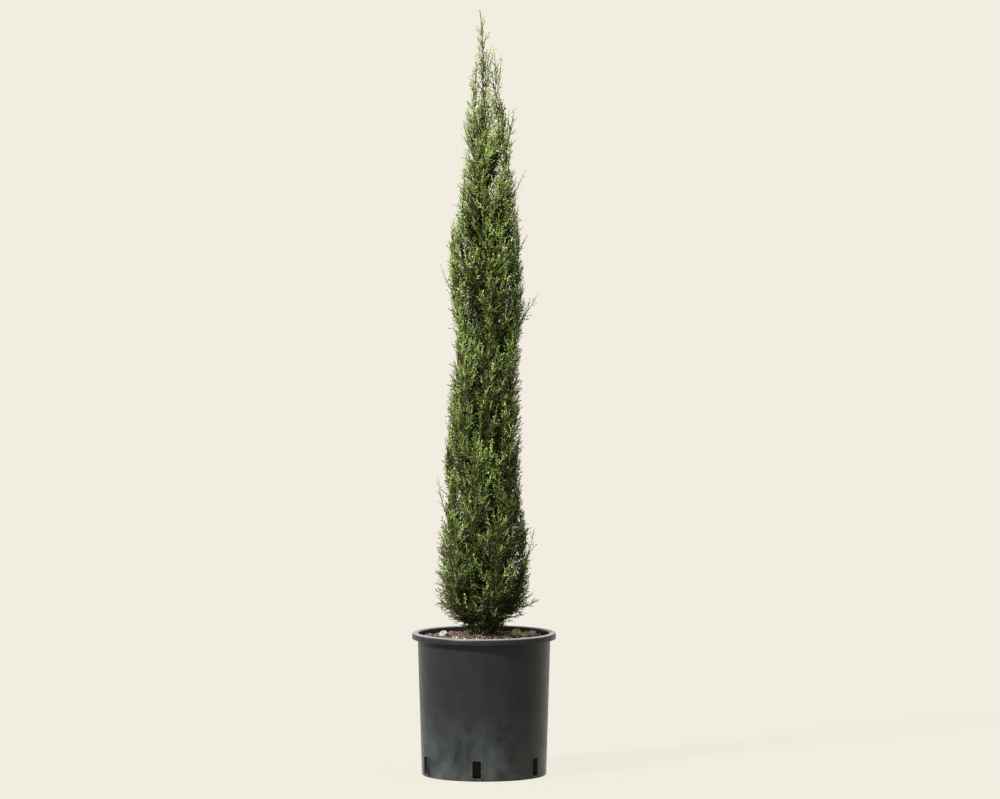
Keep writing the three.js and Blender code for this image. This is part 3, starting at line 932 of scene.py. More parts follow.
@dataclass
class SoilBed:
    """The top of the soil ball, with its crumbs, pebbles and a patch of moss."""

    edge_height: float = 266.0
    crown_height: float = 272.0
    crown_radius: float = 22.0
    pot: NurseryPot = field(default_factory=NurseryPot)
    fit_gap: float = 0.3
    swell: float = 1.6
    lump: float = 17.0
    # The lumps' noise: its fall-off, its step between octaves and its octaves.
    lump_noise: tuple[float, float, int] = (0.8, 2.1, 5)
    level_edge: float = 12.0
    level_heart: float = 16.0
    heart_radius: float = 3.0
    sides: int = 120
    rings: int = 34
    # The lumps that crumbs, grains and stones are: how often they are dented, how much finer
    # and weaker the second dents are, and how far apart two lumps read the noise.
    dents: float = 1.3
    fine_dents: tuple[float, float] = (3.0, 0.35)
    apart: tuple[float, float, float] = (7.1, 3.3, 0.0)
    patterns: int = 4
    crumbs: int = 1500
    crumb_size: tuple[float, float] = (1.3, 3.6)
    crumb_bias: float = 2.2
    crumb_inset: float = 3.0
    crumb_lift: float = 0.2
    crumb_upright: float = 0.4
    crumb_roughness: float = 0.6
    moss_blades: int = 130
    moss_bearing: tuple[float, float] = (0.0, 30.0)
    moss_radius: tuple[float, float] = (54.0, 92.0)
    moss_cushions: int = 6
    cushion_radius: float = 7.5
    # The length of the blades at a cushion's middle and edge.
    blade_length: tuple[float, float] = (19.0, 8.0)
    blade_vary: tuple[float, float] = (0.5, 1.1)
    blade_lean: float = 0.5
    blade_sink: float = 0.5
    grit: int = 26
    grit_bearing: tuple[float, float] = (200.0, 262.0)
    grit_radius: tuple[float, float] = (60.0, 116.0)
    grit_size: tuple[float, float] = (1.2, 2.6)
    grit_lift: float = 0.8
    grit_roughness: float = 0.5
    grit_seed: int = 9
    stone_seed: int = 3
    stone_detail: int = 4
    stone_roughness: float = 0.34
    stone_crease: float = 28.0

    def radius_at(self, height: float) -> float:
        """Radius of the soil ball inside the pot's wall."""
        low, high = self.pot.floor, self.pot.height - self.pot.lip_top
        share = (height - low) / (high - low)
        inner = lerp(self.pot.base_radius, self.pot.top_radius, share) - self.pot.wall
        return inner - self.fit_gap

    def top_at(self, x: float, y: float) -> float:
        """Height of the soil's surface over a place.

        Args:
            x: The place's X.
            y: The place's Y.

        Returns:
            The height.
        """
        edge = self.radius_at(self.edge_height)
        radius = math.hypot(x, y)
        rise = min(1.0, (edge - radius) / (edge - self.crown_radius))
        level = lerp(self.edge_height, self.crown_height, max(0.0, rise))
        inward = min(1.0, max(0.0, (edge - radius) / self.level_edge),
                     max(0.0, (radius - self.level_heart) / self.level_edge))
        lumps = noise.fractal(Vector((x, y, 0)) / self.lump, *self.lump_noise)
        return level + self.swell * inward * lumps

    def ball(self) -> bpy.types.Object:
        """The soil ball as a closed solid with an uneven top.

        Returns:
            The linked object.
        """
        foot = self.pot.floor + self.fit_gap
        edge = self.radius_at(self.edge_height)
        radii = [self.radius_at(foot), *np.linspace(edge, self.heart_radius, self.rings)]
        rings = [[(x, y, self.top_at(x, y) if i else foot) for x, y in circle(radius, self.sides)]
                 for i, radius in enumerate(radii)]
        return ring_solid("potting_soil", rings, (0.0, 0.0, foot), (0.0, 0.0, self.top_at(0, 0)))

    def lump_mesh(self, name: str, seed: int, detail: int, roughness: float) -> bpy.types.Mesh:
        """A rough lump about two units across.

        Args:
            name: The mesh's name.
            seed: Which lump.
            detail: How finely it is divided.
            roughness: How far its surface wanders.

        Returns:
            The lump's mesh.
        """
        shape = bmesh.new()
        bmesh.ops.create_icosphere(shape, subdivisions=detail, radius=1.0)
        start = Vector([seed * step for step in self.apart])
        finer, share = self.fine_dents
        for corner in shape.verts:
            place = corner.co * self.dents + start
            corner.co *= 1 + roughness * (noise.noise(place) + share * noise.noise(place * finer))
        mesh = poured(name, shape)
        mesh.shade_flat()
        return mesh

    def stock_of(self, name: str, meshes: list[bpy.types.Mesh]) -> bpy.types.Collection:
        """A collection that holds patterns to copy."""
        stock = bpy.data.collections.new(name)
        for mesh in meshes:
            stock.objects.link(bpy.data.objects.new(mesh.name, mesh))
        return stock

    def lumps(self, name: str, seed: int, roughness: float) -> bpy.types.Collection:
        """A few coarse lumps to copy."""
        return self.stock_of(f"{name}s", [
            self.lump_mesh(f"{name}_{i}", i + seed, 1, roughness) for i in range(self.patterns)])

    def scatter_crumbs(self) -> Planting:
        """Crumbs of peat and bark all over the top.

        Returns:
            The planting.
        """
        random, planting = Seeded(CRUMB_SEED), Planting()
        edge = self.radius_at(self.edge_height) - self.crumb_inset
        for _ in range(self.crumbs):
            radius, turn = edge * math.sqrt(random()), random() * math.tau
            x, y = radius * math.cos(turn), radius * math.sin(turn)
            size = lerp(*self.crumb_size, random() ** self.crumb_bias)
            lean = [random.either(1), random.either(1), self.crumb_upright + random()]
            place = np.array([x, y, self.top_at(x, y) + self.crumb_lift * size])
            planting.copies.append((place, np.array(lean), random() * math.tau, size * MM,
                                    int(random() * self.patterns)))
        return planting

    def scatter_grit(self) -> Planting:
        """White grains of perlite on one side of the top.

        Returns:
            The planting.
        """
        random, planting = Seeded(GRIT_SEED), Planting()
        for _ in range(self.grit):
            radius, bearing = lerp(*self.grit_radius, random()), lerp(*self.grit_bearing, random())
            x, y, _ = around(radius, bearing, 0)
            size = lerp(*self.grit_size, random())
            place = np.array([x, y, self.top_at(x, y) + self.grit_lift * size])
            planting.copies.append((place, UP, random() * math.tau, size * MM,
                                    int(random() * self.patterns)))
        return planting

    def scatter_moss(self) -> Planting:
        """Short upright blades of moss in a few cushions near the wall.

        Returns:
            The planting.
        """
        random, planting = Seeded(MOSS_SEED), Planting()
        cushions = [
            around(lerp(*self.moss_radius, random()),
                   lerp(*self.moss_bearing, i / (self.moss_cushions - 1)), 0)
            for i in range(self.moss_cushions)
        ]
        for i in range(self.moss_blades):
            off = self.cushion_radius * math.sqrt(random())
            x, y, _ = cushions[i % len(cushions)] + around(off, random() * 360, 0)
            place = np.array([x, y, self.top_at(x, y) - self.blade_sink])
            lean = [random.either(self.blade_lean), random.either(self.blade_lean), 1.0]
            size = lerp(*self.blade_length, off / self.cushion_radius)
            size *= lerp(*self.blade_vary, random())
            planting.copies.append((place, np.array(lean), random() * math.tau, size * MM, 0))
        return planting

    def blade(self) -> bpy.types.Mesh:
        """One blade of moss, a unit tall: a slim solid of four faces."""
        corners = [(0, 0, 0), (-0.05, 0.12, 0.45), (-0.05, -0.12, 0.45), (0, 0, 1)]
        mesh = bpy.data.meshes.new("moss_blade")
        mesh.from_pydata(corners, [], [(0, 2, 1), (0, 1, 3), (0, 3, 2), (1, 2, 3)])
        return mesh

    def stones(self, finish: bpy.types.Material) -> list[bpy.types.Object]:
        """A finer pebble in the place of each of the frame's stones.

        Args:
            finish: The stones' finish.

        Returns:
            The pieces.
        """
        pieces = []
        for i, node in enumerate(sorted(n for n in frame["nodes"] if n.startswith("stone"))):
            low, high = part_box(node)
            name = f"pebble_{i + 1}"
            piece = into_scene(name, self.lump_mesh(
                name, i + self.stone_seed, self.stone_detail, self.stone_roughness))
            corners = np.array([vertex.co for vertex in piece.data.vertices])
            middle = (corners.max(0) + corners.min(0)) / 2
            placed = (corners - middle) / np.ptp(corners, axis=0) * np.array(high - low)
            placed += np.array(low + high) / 2
            piece.data.vertices.foreach_set("co", placed.ravel().tolist())
            piece.data.shade_smooth()
            piece.data.set_sharp_from_angle(angle=math.radians(self.stone_crease))
            piece.data.materials.append(finish)
            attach(piece, BODY)
            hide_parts(node)
            pieces.append(piece)
        return pieces

    def build(self, tree: bpy.types.NodeTree) -> list[bpy.types.Object]:
        """Makes the soil, its crumbs, its moss and the pebbles.

        Args:
            tree: The planting tree.

        Returns:
            The pieces.
        """
        ball = self.ball()
        ball.data.materials.append(Natural.MIX.value.material())
        beds = (
            ("soil_crumbs", self.scatter_crumbs(), Natural.CRUMB,
             self.lumps("crumb", 0, self.crumb_roughness)),
            ("moss_cushions", self.scatter_moss(), Natural.MOSS,
             self.stock_of("moss", [self.blade()])),
            ("perlite_grains", self.scatter_grit(), Natural.PERLITE,
             self.lumps("grain", self.grit_seed, self.grit_roughness)),
        )
        pieces = [ball] + [bed.grown(name, stock, tree, stuff.value.material())
                           for name, bed, stuff, stock in beds]
        for piece in pieces:
            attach(piece, BODY)
        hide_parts("soil")
        return pieces + self.stones(Natural.STONE.value.material())


# ---- how the tree grows


@dataclass(frozen=True)
class Trunk:
    """The single stem's taper, root flare and slight sway."""

    foot_height: float = 272.0
    foot_radius: float = 9.5
    tip_radius: float = 2.6
    tip_height: float = 1180.0
    flare: float = 5.0
    flare_height: float = 14.0
    sway: float = 4.0
    # How much of the sway lies along Y.
    sway_share: float = 0.5
    sway_length: float = 520.0
    sway_ease: float = 200.0

    def middle(self, height: Any) -> Point:
        """The middle of the trunk at some heights.

        Args:
            height: The heights.

        Returns:
            The points.
        """
        above = np.asarray(height, float) - self.foot_height
        turn = 2 * math.pi * above / self.sway_length
        ease = self.sway * np.minimum(1, above / self.sway_ease)
        return np.stack([ease * np.sin(turn), ease * (np.cos(turn) - 1) * self.sway_share,
                         np.asarray(height, float)], -1)

    def radius(self, height: Any) -> Any:
        """The trunk's radius at some heights."""
        above = np.asarray(height, float) - self.foot_height
        share = above / (self.tip_height - self.foot_height)
        return lerp(self.foot_radius, self.tip_radius, share) + self.flare * np.exp(
            -above / self.flare_height)


@dataclass(frozen=True)
class Tier:
    """One tier of plumes, and where its stems fork, turn upright and end."""

    count: int
    bearing: float
    fork: float
    rise: float
    shoulder: float
    tip: float


@dataclass(frozen=True)
class Crown:
    """The crown's outline, its tiers of plumes and the bounds of their random places."""

    height: float = 1486.0
    # Count, bearing, fork, rise, shoulder and tip.
    tiers: tuple[Tier, ...] = (
        Tier(5, 4, 280, 12, 0.24, 500),
        Tier(5, 178, 325, 46, 0.36, 635),
        Tier(4, 146, 480, 46, 0.36, 818),
        Tier(4, 6, 610, 46, 0.36, 950),
        Tier(4, 184, 740, 46, 0.36, 1050),
        Tier(3, 30, 890, 0, 0.4, 1145),
        Tier(3, -8, 1010, 0, 0.45, 1284),
        Tier(2, 12, 1140, 0, 0.5, 1382),
    )
    # Height, radius, and how far the middle leans towards +X.
    outline: tuple[tuple[float, float, float], ...] = (
        (270, 36, 0), (292, 66, -2), (315, 88, -2), (345, 95, -2), (480, 92, 0),
        (535, 76, 0), (600, 81, -3), (740, 75, 0), (850, 68, 8), (925, 79, 8),
        (1035, 75, 1), (1130, 66, 5), (1200, 52, 8), (1292, 56, 11), (1308, 38, 2),
        (1372, 36, 4), (1400, 22, 2), (1486, 7, -6),
    )
    # How far each plume's bearing, fork and tip may wander from its tier's.
    jitter_bearing: float = 7.0
    jitter_fork: float = 12.0
    jitter_tip: float = 16.0
    # The share of that jitter that each tier's first plume has.
    first_jitter: float = 0.3
    bough_reach: float = 25.0
    bough_bend: tuple[float, float] = (0.6, 0.25)
    stem_lead: float = 12.0
    stem_upper: float = 0.7
    shoulder_inset: float = 25.0
    tip_inset: float = 9.0
    least_out: float = 4.0
    leader_start: float = 100.0
    leader_bend: tuple[float, float] = (4.0, 80.0)
    leader_tip: float = -8.0
    fit_gap: float = 0.3

    def across(self, height: Any) -> tuple[Point, Point]:
        """The crown's radius and lean at some heights."""
        heights, radii, leans = np.array(self.outline, float).T
        return np.interp(height, heights, radii), np.interp(height, heights, leans)

    def high(self, height: float) -> float:
        """How high a place lies, as a share of the crown's height."""
        foot = self.outline[0][0]
        return (height - foot) / (self.height - foot)

    def depth(self, points: Point) -> Point:
        """How far inside the outline points lie. Outside it they are negative.

        Args:
            points: The points.

        Returns:
            Their depths.
        """
        radius, lean = self.across(points[..., 2])
        away = np.hypot(points[..., 0] - lean, points[..., 1])
        low = points[..., 2] - self.outline[0][0]
        high = self.height - points[..., 2]
        return np.minimum(np.minimum(radius - away, low), high)

    def inside(self, bearing: float, height: float, inset: float) -> Point:
        """A point inside the outline, by an inset."""
        radius, lean = self.across(height)
        out = max(self.least_out, float(radius) - inset)
        return around(out, bearing, height) + [float(lean), 0, 0]


@dataclass
class Plume:
    """One upright plume: its outward side, its stem and its bough."""

    outward: Point
    stem: Line
    bough: Line | None
    leader: bool = False
    stem_points: int = 15
    bough_points: int = 5

    @property
    def path(self) -> Point:
        """The points of the bough and the stem, as one line."""
        stem = self.stem.at(np.linspace(0, 1, self.stem_points))
        return stem if self.bough is None else np.concatenate([
            self.bough.at(np.linspace(0, 1, self.bough_points)), stem])


@dataclass
class Layout:
    """Every plume's place, worked out from the crown's tiers."""

    crown: Crown
    trunk: Trunk
    plumes: list[Plume] = field(default_factory=list)
    batch: int = 3000

    def __post_init__(self) -> None:
        """Lays the plumes out from the lowest tier to the leader."""
        random, crown = Seeded(LAYOUT_SEED), self.crown
        for tier in crown.tiers:
            for i in range(tier.count):
                bearing = tier.bearing + 360 * i / tier.count + random.either(crown.jitter_bearing)
                fork = tier.fork + random.either(crown.jitter_fork)
                calm = 1 if i else crown.first_jitter
                tip = tier.tip + random.either(crown.jitter_tip) * calm
                self.plumes.append(self.plume(tier, bearing, fork, tip))
        self.plumes.append(self.leader())
        starts = [plume.path[:-1] for plume in self.plumes]
        self.starts = np.concatenate(starts)
        self.ends = np.concatenate([plume.path[1:] for plume in self.plumes])
        self.firsts = np.cumsum([0, *map(len, starts[:-1])])

    def plume(self, tier: Tier, bearing: float, fork: float, tip: float) -> Plume:
        """One plume, on its bough if its tier has boughs.

        Args:
            tier: The tier that it belongs to.
            bearing: Its side of the trunk, in degrees.
            fork: The height where it leaves the trunk.
            tip: The height of its tip.

        Returns:
            The plume.
        """
        crown = self.crown
        start, outward = self.trunk.middle(fork), around(1, bearing, 0)
        bough_tip = start + crown.bough_reach * outward + tier.rise * UP
        out, up = crown.bough_bend
        bend = start + out * crown.bough_reach * outward + up * tier.rise * UP
        heading = unit(bough_tip - bend if tier.rise else outward + UP)
        foot = bough_tip + crown.fit_gap * heading if tier.rise else start
        climb = tip - foot[2]
        stem = Line.through([
            foot,
            foot + crown.stem_lead * heading,
            crown.inside(bearing, foot[2] + tier.shoulder * climb, crown.shoulder_inset),
            crown.inside(bearing, foot[2] + crown.stem_upper * climb,
                         (crown.shoulder_inset + crown.tip_inset) / 2),
            crown.inside(bearing, tip, crown.tip_inset),
        ])
        bough = Line.bent([start, bend, bough_tip]) if tier.rise else None
        return Plume(outward, stem, bough)

    def leader(self) -> Plume:
        """The plume that carries the trunk's line on to the top.

        Returns:
            The plume.
        """
        crown = self.crown
        start = self.trunk.middle(self.trunk.tip_height) + crown.fit_gap * UP
        out, below = crown.leader_bend
        stem = Line.bent([
            start, start + crown.leader_start * UP, np.array([out, 0, crown.height - below]),
            np.array([crown.leader_tip, 0, crown.height])])
        return Plume(np.array([1.0, 0, 0]), stem, None, leader=True)

    def distances(self, points: Point) -> Point:
        """Distances from points to every plume's own line.

        Args:
            points: The points, as rows.

        Returns:
            A row for each point and a column for each plume.
        """
        span = self.ends - self.starts
        squared = (span**2).sum(1)
        rows = []
        for part in np.array_split(points, max(1, len(points) // self.batch)):
            off = part[:, None] - self.starts
            ratio = np.clip((off * span).sum(2) / squared, 0, 1)
            gap = np.linalg.norm(off - ratio[..., None] * span, axis=2)
            rows.append(np.minimum.reduceat(gap, self.firsts, axis=1))
        return np.concatenate(rows)


# ---- trunk and boughs


@dataclass
class Limbs:
    """The trunk and its boughs, with the relief of fibrous bark."""

    layout: Layout
    sides: int = 30
    rings: int = 240
    bough_sides: int = 12
    bough_rings: int = 14
    foot_radius: float = 3.4
    tip_radius: float = 2.3
    # The most of the trunk's radius that a bough's root has.
    root_share: float = 0.6
    ring_crowding: float = 1.25
    line_points: int = 400
    twist: float = 0.0016
    ridge: float = 0.07
    # How many lobes and fibres go round a limb, and how far each sways.
    lobes: int = 5
    lobe_sway: float = 1.7
    lobe_length: float = 47.0
    lobe_share: float = 0.5
    furrows: float = 3.2
    furrow_length: float = 26.0
    furrow_share: float = 1.3
    fibre: float = 0.035
    fibres: int = 13
    fibre_sway: float = 2.2
    fibre_length: float = 21.0

    def relief(self, turn: float, height: float, seed: float) -> float:
        """How much the bark's ridges swell the limb at a side and a height.

        Args:
            turn: The side, in radians.
            height: The height.
            seed: The limb's own number.

        Returns:
            What the limb's radius is multiplied by.
        """
        twist = turn + self.twist * height
        lobe = math.sin(self.lobes * twist
                        + self.lobe_sway * math.sin(height / self.lobe_length + seed))
        furrow = noise.noise(Vector((
            self.furrows * math.cos(twist), self.furrows * math.sin(twist),
            height / self.furrow_length + seed)))
        fibre = math.sin(self.fibres * twist
                         + self.fibre_sway * math.sin(height / self.fibre_length + 2 * seed))
        ridge = self.lobe_share * lobe + self.furrow_share * furrow
        return 1 + self.ridge * ridge + self.fibre * fibre

    def swept(self, name: str, line: Line, radii: Point, sides: int, seed: float,
              upright: bool = False) -> bpy.types.Object:
        """A closed limb of rings round a line.

        Args:
            name: The object's name.
            line: The limb's middle line.
            radii: The radius at each ring, from the foot to the tip.
            sides: How many corners each ring has.
            seed: Sets this limb's bark apart from the others'.
            upright: Whether the rings lie level, and closer together towards the foot.

        Returns:
            The limb.
        """
        shares = np.linspace(0, 1, len(radii)) ** (self.ring_crowding if upright else 1.0)
        middles, along = line.at(shares), line.along(shares)
        if upright:
            along[:] = UP
        across = unit(np.cross(along, LIMB_ASKEW))
        other = np.cross(along, across)
        angles = [2 * math.pi * k / sides for k in range(sides)]
        rings = [
            [middle + radius * self.relief(angle, middle[2], seed)
             * (math.cos(angle) * a + math.sin(angle) * b) for angle in angles]
            for middle, a, b, radius in zip(middles, across, other, radii)
        ]
        return ring_solid(name, rings, middles[0], middles[-1])

    def build(self, finish: StringyBark) -> list[bpy.types.Object]:
        """Makes the trunk and the boughs.

        Args:
            finish: The bark.

        Returns:
            The trunk and the joined boughs.
        """
        trunk, bark = self.layout.trunk, finish.material()
        foot = trunk.foot_height + self.layout.crown.fit_gap
        shares = np.linspace(0, 1, self.rings) ** self.ring_crowding
        heights = lerp(foot, trunk.tip_height, shares)
        line = Line(trunk.middle(np.linspace(foot, trunk.tip_height, self.line_points)))
        radii = trunk.radius(heights)
        stem = self.swept("trunk_bark", line, radii, self.sides, 0.0, upright=True)
        boughs = []
        for i, plume in enumerate(p for p in self.layout.plumes if p.bough):
            fork = float(trunk.radius(plume.bough.points[0][2]))
            root = min(self.foot_radius, self.root_share * fork)
            radii = np.linspace(root, self.tip_radius, self.bough_rings)
            boughs.append(self.swept(f"bough_{i}", plume.bough, radii, self.bough_sides, i + 1.0))
        joined = self.joined("bough_bark", boughs)
        names = [name for name in frame["nodes"] if name.startswith("bough")]
        for piece, nodes in ((stem, ["trunk"]), (joined, names)):
            piece.data.materials.append(bark)
            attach(piece, BODY)
            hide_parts(*nodes)
        return [stem, joined]

    def joined(self, name: str, parts: list[bpy.types.Object]) -> bpy.types.Object:
        """Joins several objects' meshes into one object, and removes the objects.

        Args:
            name: The new object's name.
            parts: The objects.

        Returns:
            The new object.
        """
        shape = bmesh.new()
        for part in parts:
            shape.from_mesh(part.data)
            bpy.data.objects.remove(part)
        return into_scene(name, poured(name, shape))


# ---- foliage


def spray_tree() -> bpy.types.NodeTree:
    """A tree that makes one spray: a curled axis that twiglets stand out of all round.

    Each twiglet is a slim kite with a ridge, from its root over two shoulders to its tip. It is
    a cone of three sides, with its one corner on +X drawn in to the root and the others raised.

    Returns:
        The tree, with the spray's sizes, its seed and its finish as inputs.
    """
    number, whole = "NodeSocketFloat", "NodeSocketInt"
    tree, given, result = new_tree("spray", {
        "Length": number, "Bend": number, "Curl": number, "Axis Radius": number,
        "Twiglets": whole, "Twiglet Length": number, "Twiglet Radius": number,
        "Shoulder": number, "Foot Angle": number, "Tip Angle": number, "Seed": whole,
        "Finish": "NodeSocketMaterial"})
    size = given.outputs
    bend = add(tree, "ShaderNodeCombineXYZ", {"Z": size["Bend"]})
    end = add(tree, "ShaderNodeCombineXYZ", {"X": size["Curl"], "Z": size["Length"]})
    axis = add(tree, "GeometryNodeCurveQuadraticBezier", {
        "Resolution": 2, "Start": (0, 0, 0), "Middle": bend, "End": end})
    factor = add(tree, "GeometryNodeSplineParameter").outputs["Factor"]
    taper = add(tree, "ShaderNodeMapRange", {"Value": factor, "To Min": 1.0, "To Max": 0.35})
    ring = add(tree, "GeometryNodeCurvePrimitiveCircle", {
        "Resolution": 3, "Radius": size["Axis Radius"]})
    stalk = add(tree, "GeometryNodeCurveToMesh", {
        "Curve": axis, "Profile Curve": ring, "Scale": taper, "Fill Caps": True})
    points = add(tree, "GeometryNodeCurveToPoints", {"Curve": axis, "Count": size["Twiglets"]})
    index = add(tree, "GeometryNodeInputIndex")
    angle = add(tree, "ShaderNodeMapRange", {
        "Value": index, "From Max": size["Twiglets"], "To Min": size["Foot Angle"],
        "To Max": size["Tip Angle"]})
    least, most = 2, 3
    vary = add(tree, "FunctionNodeRandomValue", {
        least: 0.75, most: 1.25, "Seed": size["Seed"]}, data_type="FLOAT")
    lean = add(tree, "ShaderNodeMath", {0: angle, 1: vary}, operation="MULTIPLY")
    turn = add(tree, "ShaderNodeMath", {
        0: index, 1: GOLDEN_TURN, 2: vary}, operation="MULTIPLY_ADD")
    rotation = add(tree, "ShaderNodeCombineXYZ", {"Y": lean, "Z": turn})
    bulk = add(tree, "ShaderNodeMapRange", {
        "Value": index, "From Max": size["Twiglets"], "To Min": 1.0, "To Max": 0.6})
    scale = add(tree, "ShaderNodeMath", {0: bulk, 1: vary}, operation="MULTIPLY")

    cone = add(tree, "GeometryNodeMeshCone", {
        "Vertices": 3, "Radius Top": 0.0, "Radius Bottom": size["Twiglet Radius"],
        "Depth": size["Twiglet Length"]}, fill_type="NGON")
    position = add(tree, "GeometryNodeInputPosition")
    across = add(tree, "ShaderNodeSeparateXYZ", {"Vector": position}).outputs["X"]
    off_axis = 0.1 * MM
    is_root = add(tree, "ShaderNodeMath", {0: across, 1: off_axis}, operation="GREATER_THAN")
    rooted = add(tree, "GeometryNodeSetPosition", {
        "Geometry": cone, "Selection": is_root, "Position": (0, 0, 0)})
    is_side = add(tree, "ShaderNodeMath", {0: across, 1: -off_axis}, operation="LESS_THAN")
    rise = add(tree, "ShaderNodeCombineXYZ", {"Z": size["Shoulder"]})
    twiglet = add(tree, "GeometryNodeSetPosition", {
        "Geometry": rooted, "Selection": is_side, "Offset": rise})
    twiglets = add(tree, "GeometryNodeInstanceOnPoints", {
        "Points": points, "Instance": twiglet, "Rotation": rotation, "Scale": scale})
    joined = add(tree, "GeometryNodeJoinGeometry")
    for part in (twiglets, stalk):
        feed(tree, joined, {0: part})
    return end_tree(tree, joined, size["Finish"], result)


def twig_tree() -> bpy.types.NodeTree:
    """A tree that gives lines of edges a round, tapering skin.

    Returns:
        The tree, with its Sides and its Finish as inputs.
    """
    tree, given, result = new_tree("twig_skin", {
        "Sides": "NodeSocketInt", "Finish": "NodeSocketMaterial"})
    girth = add(tree, "GeometryNodeInputNamedAttribute", {"Name": "girth"}, data_type="FLOAT")
    curve = add(tree, "GeometryNodeMeshToCurve", {"Mesh": given.outputs["Geometry"]})
    ring = add(tree, "GeometryNodeCurvePrimitiveCircle", {
        "Resolution": given.outputs["Sides"], "Radius": 1.0})
    skin = add(tree, "GeometryNodeCurveToMesh", {
        "Curve": curve, "Profile Curve": ring, "Scale": girth, "Fill Caps": True})
    return end_tree(tree, skin, given.outputs["Finish"], result)


@dataclass
class Twig:
    """A line that sprays grow on, and its tone, from -1, dark, to 1, fresh.

    It is a side shoot, unless it is a plume's own stem. A stray grows out of the crown.
    """

    line: Line
    tone: float
    stray: bool = False
    stem: bool = False


@dataclass(frozen=True)
class Shoots:
    """A set of short leafy shoots that stand on the trunk.

    Where a field is a pair, the first holds at the lowest shoot and the second at the highest.
    """

    count: int
    heights: tuple[float, float]
    spread: tuple[float, float]
    longest: tuple[float, float]
    crowding: float = 1.0


@dataclass(frozen=True)
class Strays:
    """A set of thin shoots that stand out past the crown's outline.

    They leave the stems that start below a height, at a share of the stem's length, and open
    away from it by an angle. Each grows until it is some way past the outline.
    """

    count: int
    below: float
    roots: tuple[float, float]
    spread: tuple[float, float]
    past: tuple[float, float]


@dataclass(frozen=True)
class Freshness:
    """How fresh a spray's tint is: a base, and what each side of its place adds or takes."""

    base: float = 0.28
    high: float = 0.66
    tone: float = 0.08
    share: float = 0.6
    chance: float = 0.7
    # Darkens sprays deep inside the crown: partly older growth, partly painted shade where the
    # crown shades itself.
    depth: float = 0.025


@dataclass(frozen=True)
class Dryness:
    """How likely a spray is dry: a base, and what the crown's foot and its depth add."""

    base: float = 0.03
    foot: float = 0.25
    zone: float = 0.05
    depth: float = 0.0015


@dataclass(frozen=True)
class Spray:
    """A pattern of spray: how long it is, and how its twiglets stand on it."""

    length: float = 30.0
    twiglets: int = 6
    twiglet_length: float = 13.0
    twiglet_radius: float = 2.7
    shoulder: float = 5.5
    axis_radius: float = 1.1
    foot_angle: float = 50.0
    tip_angle: float = 32.0
    curl: float = 0.8


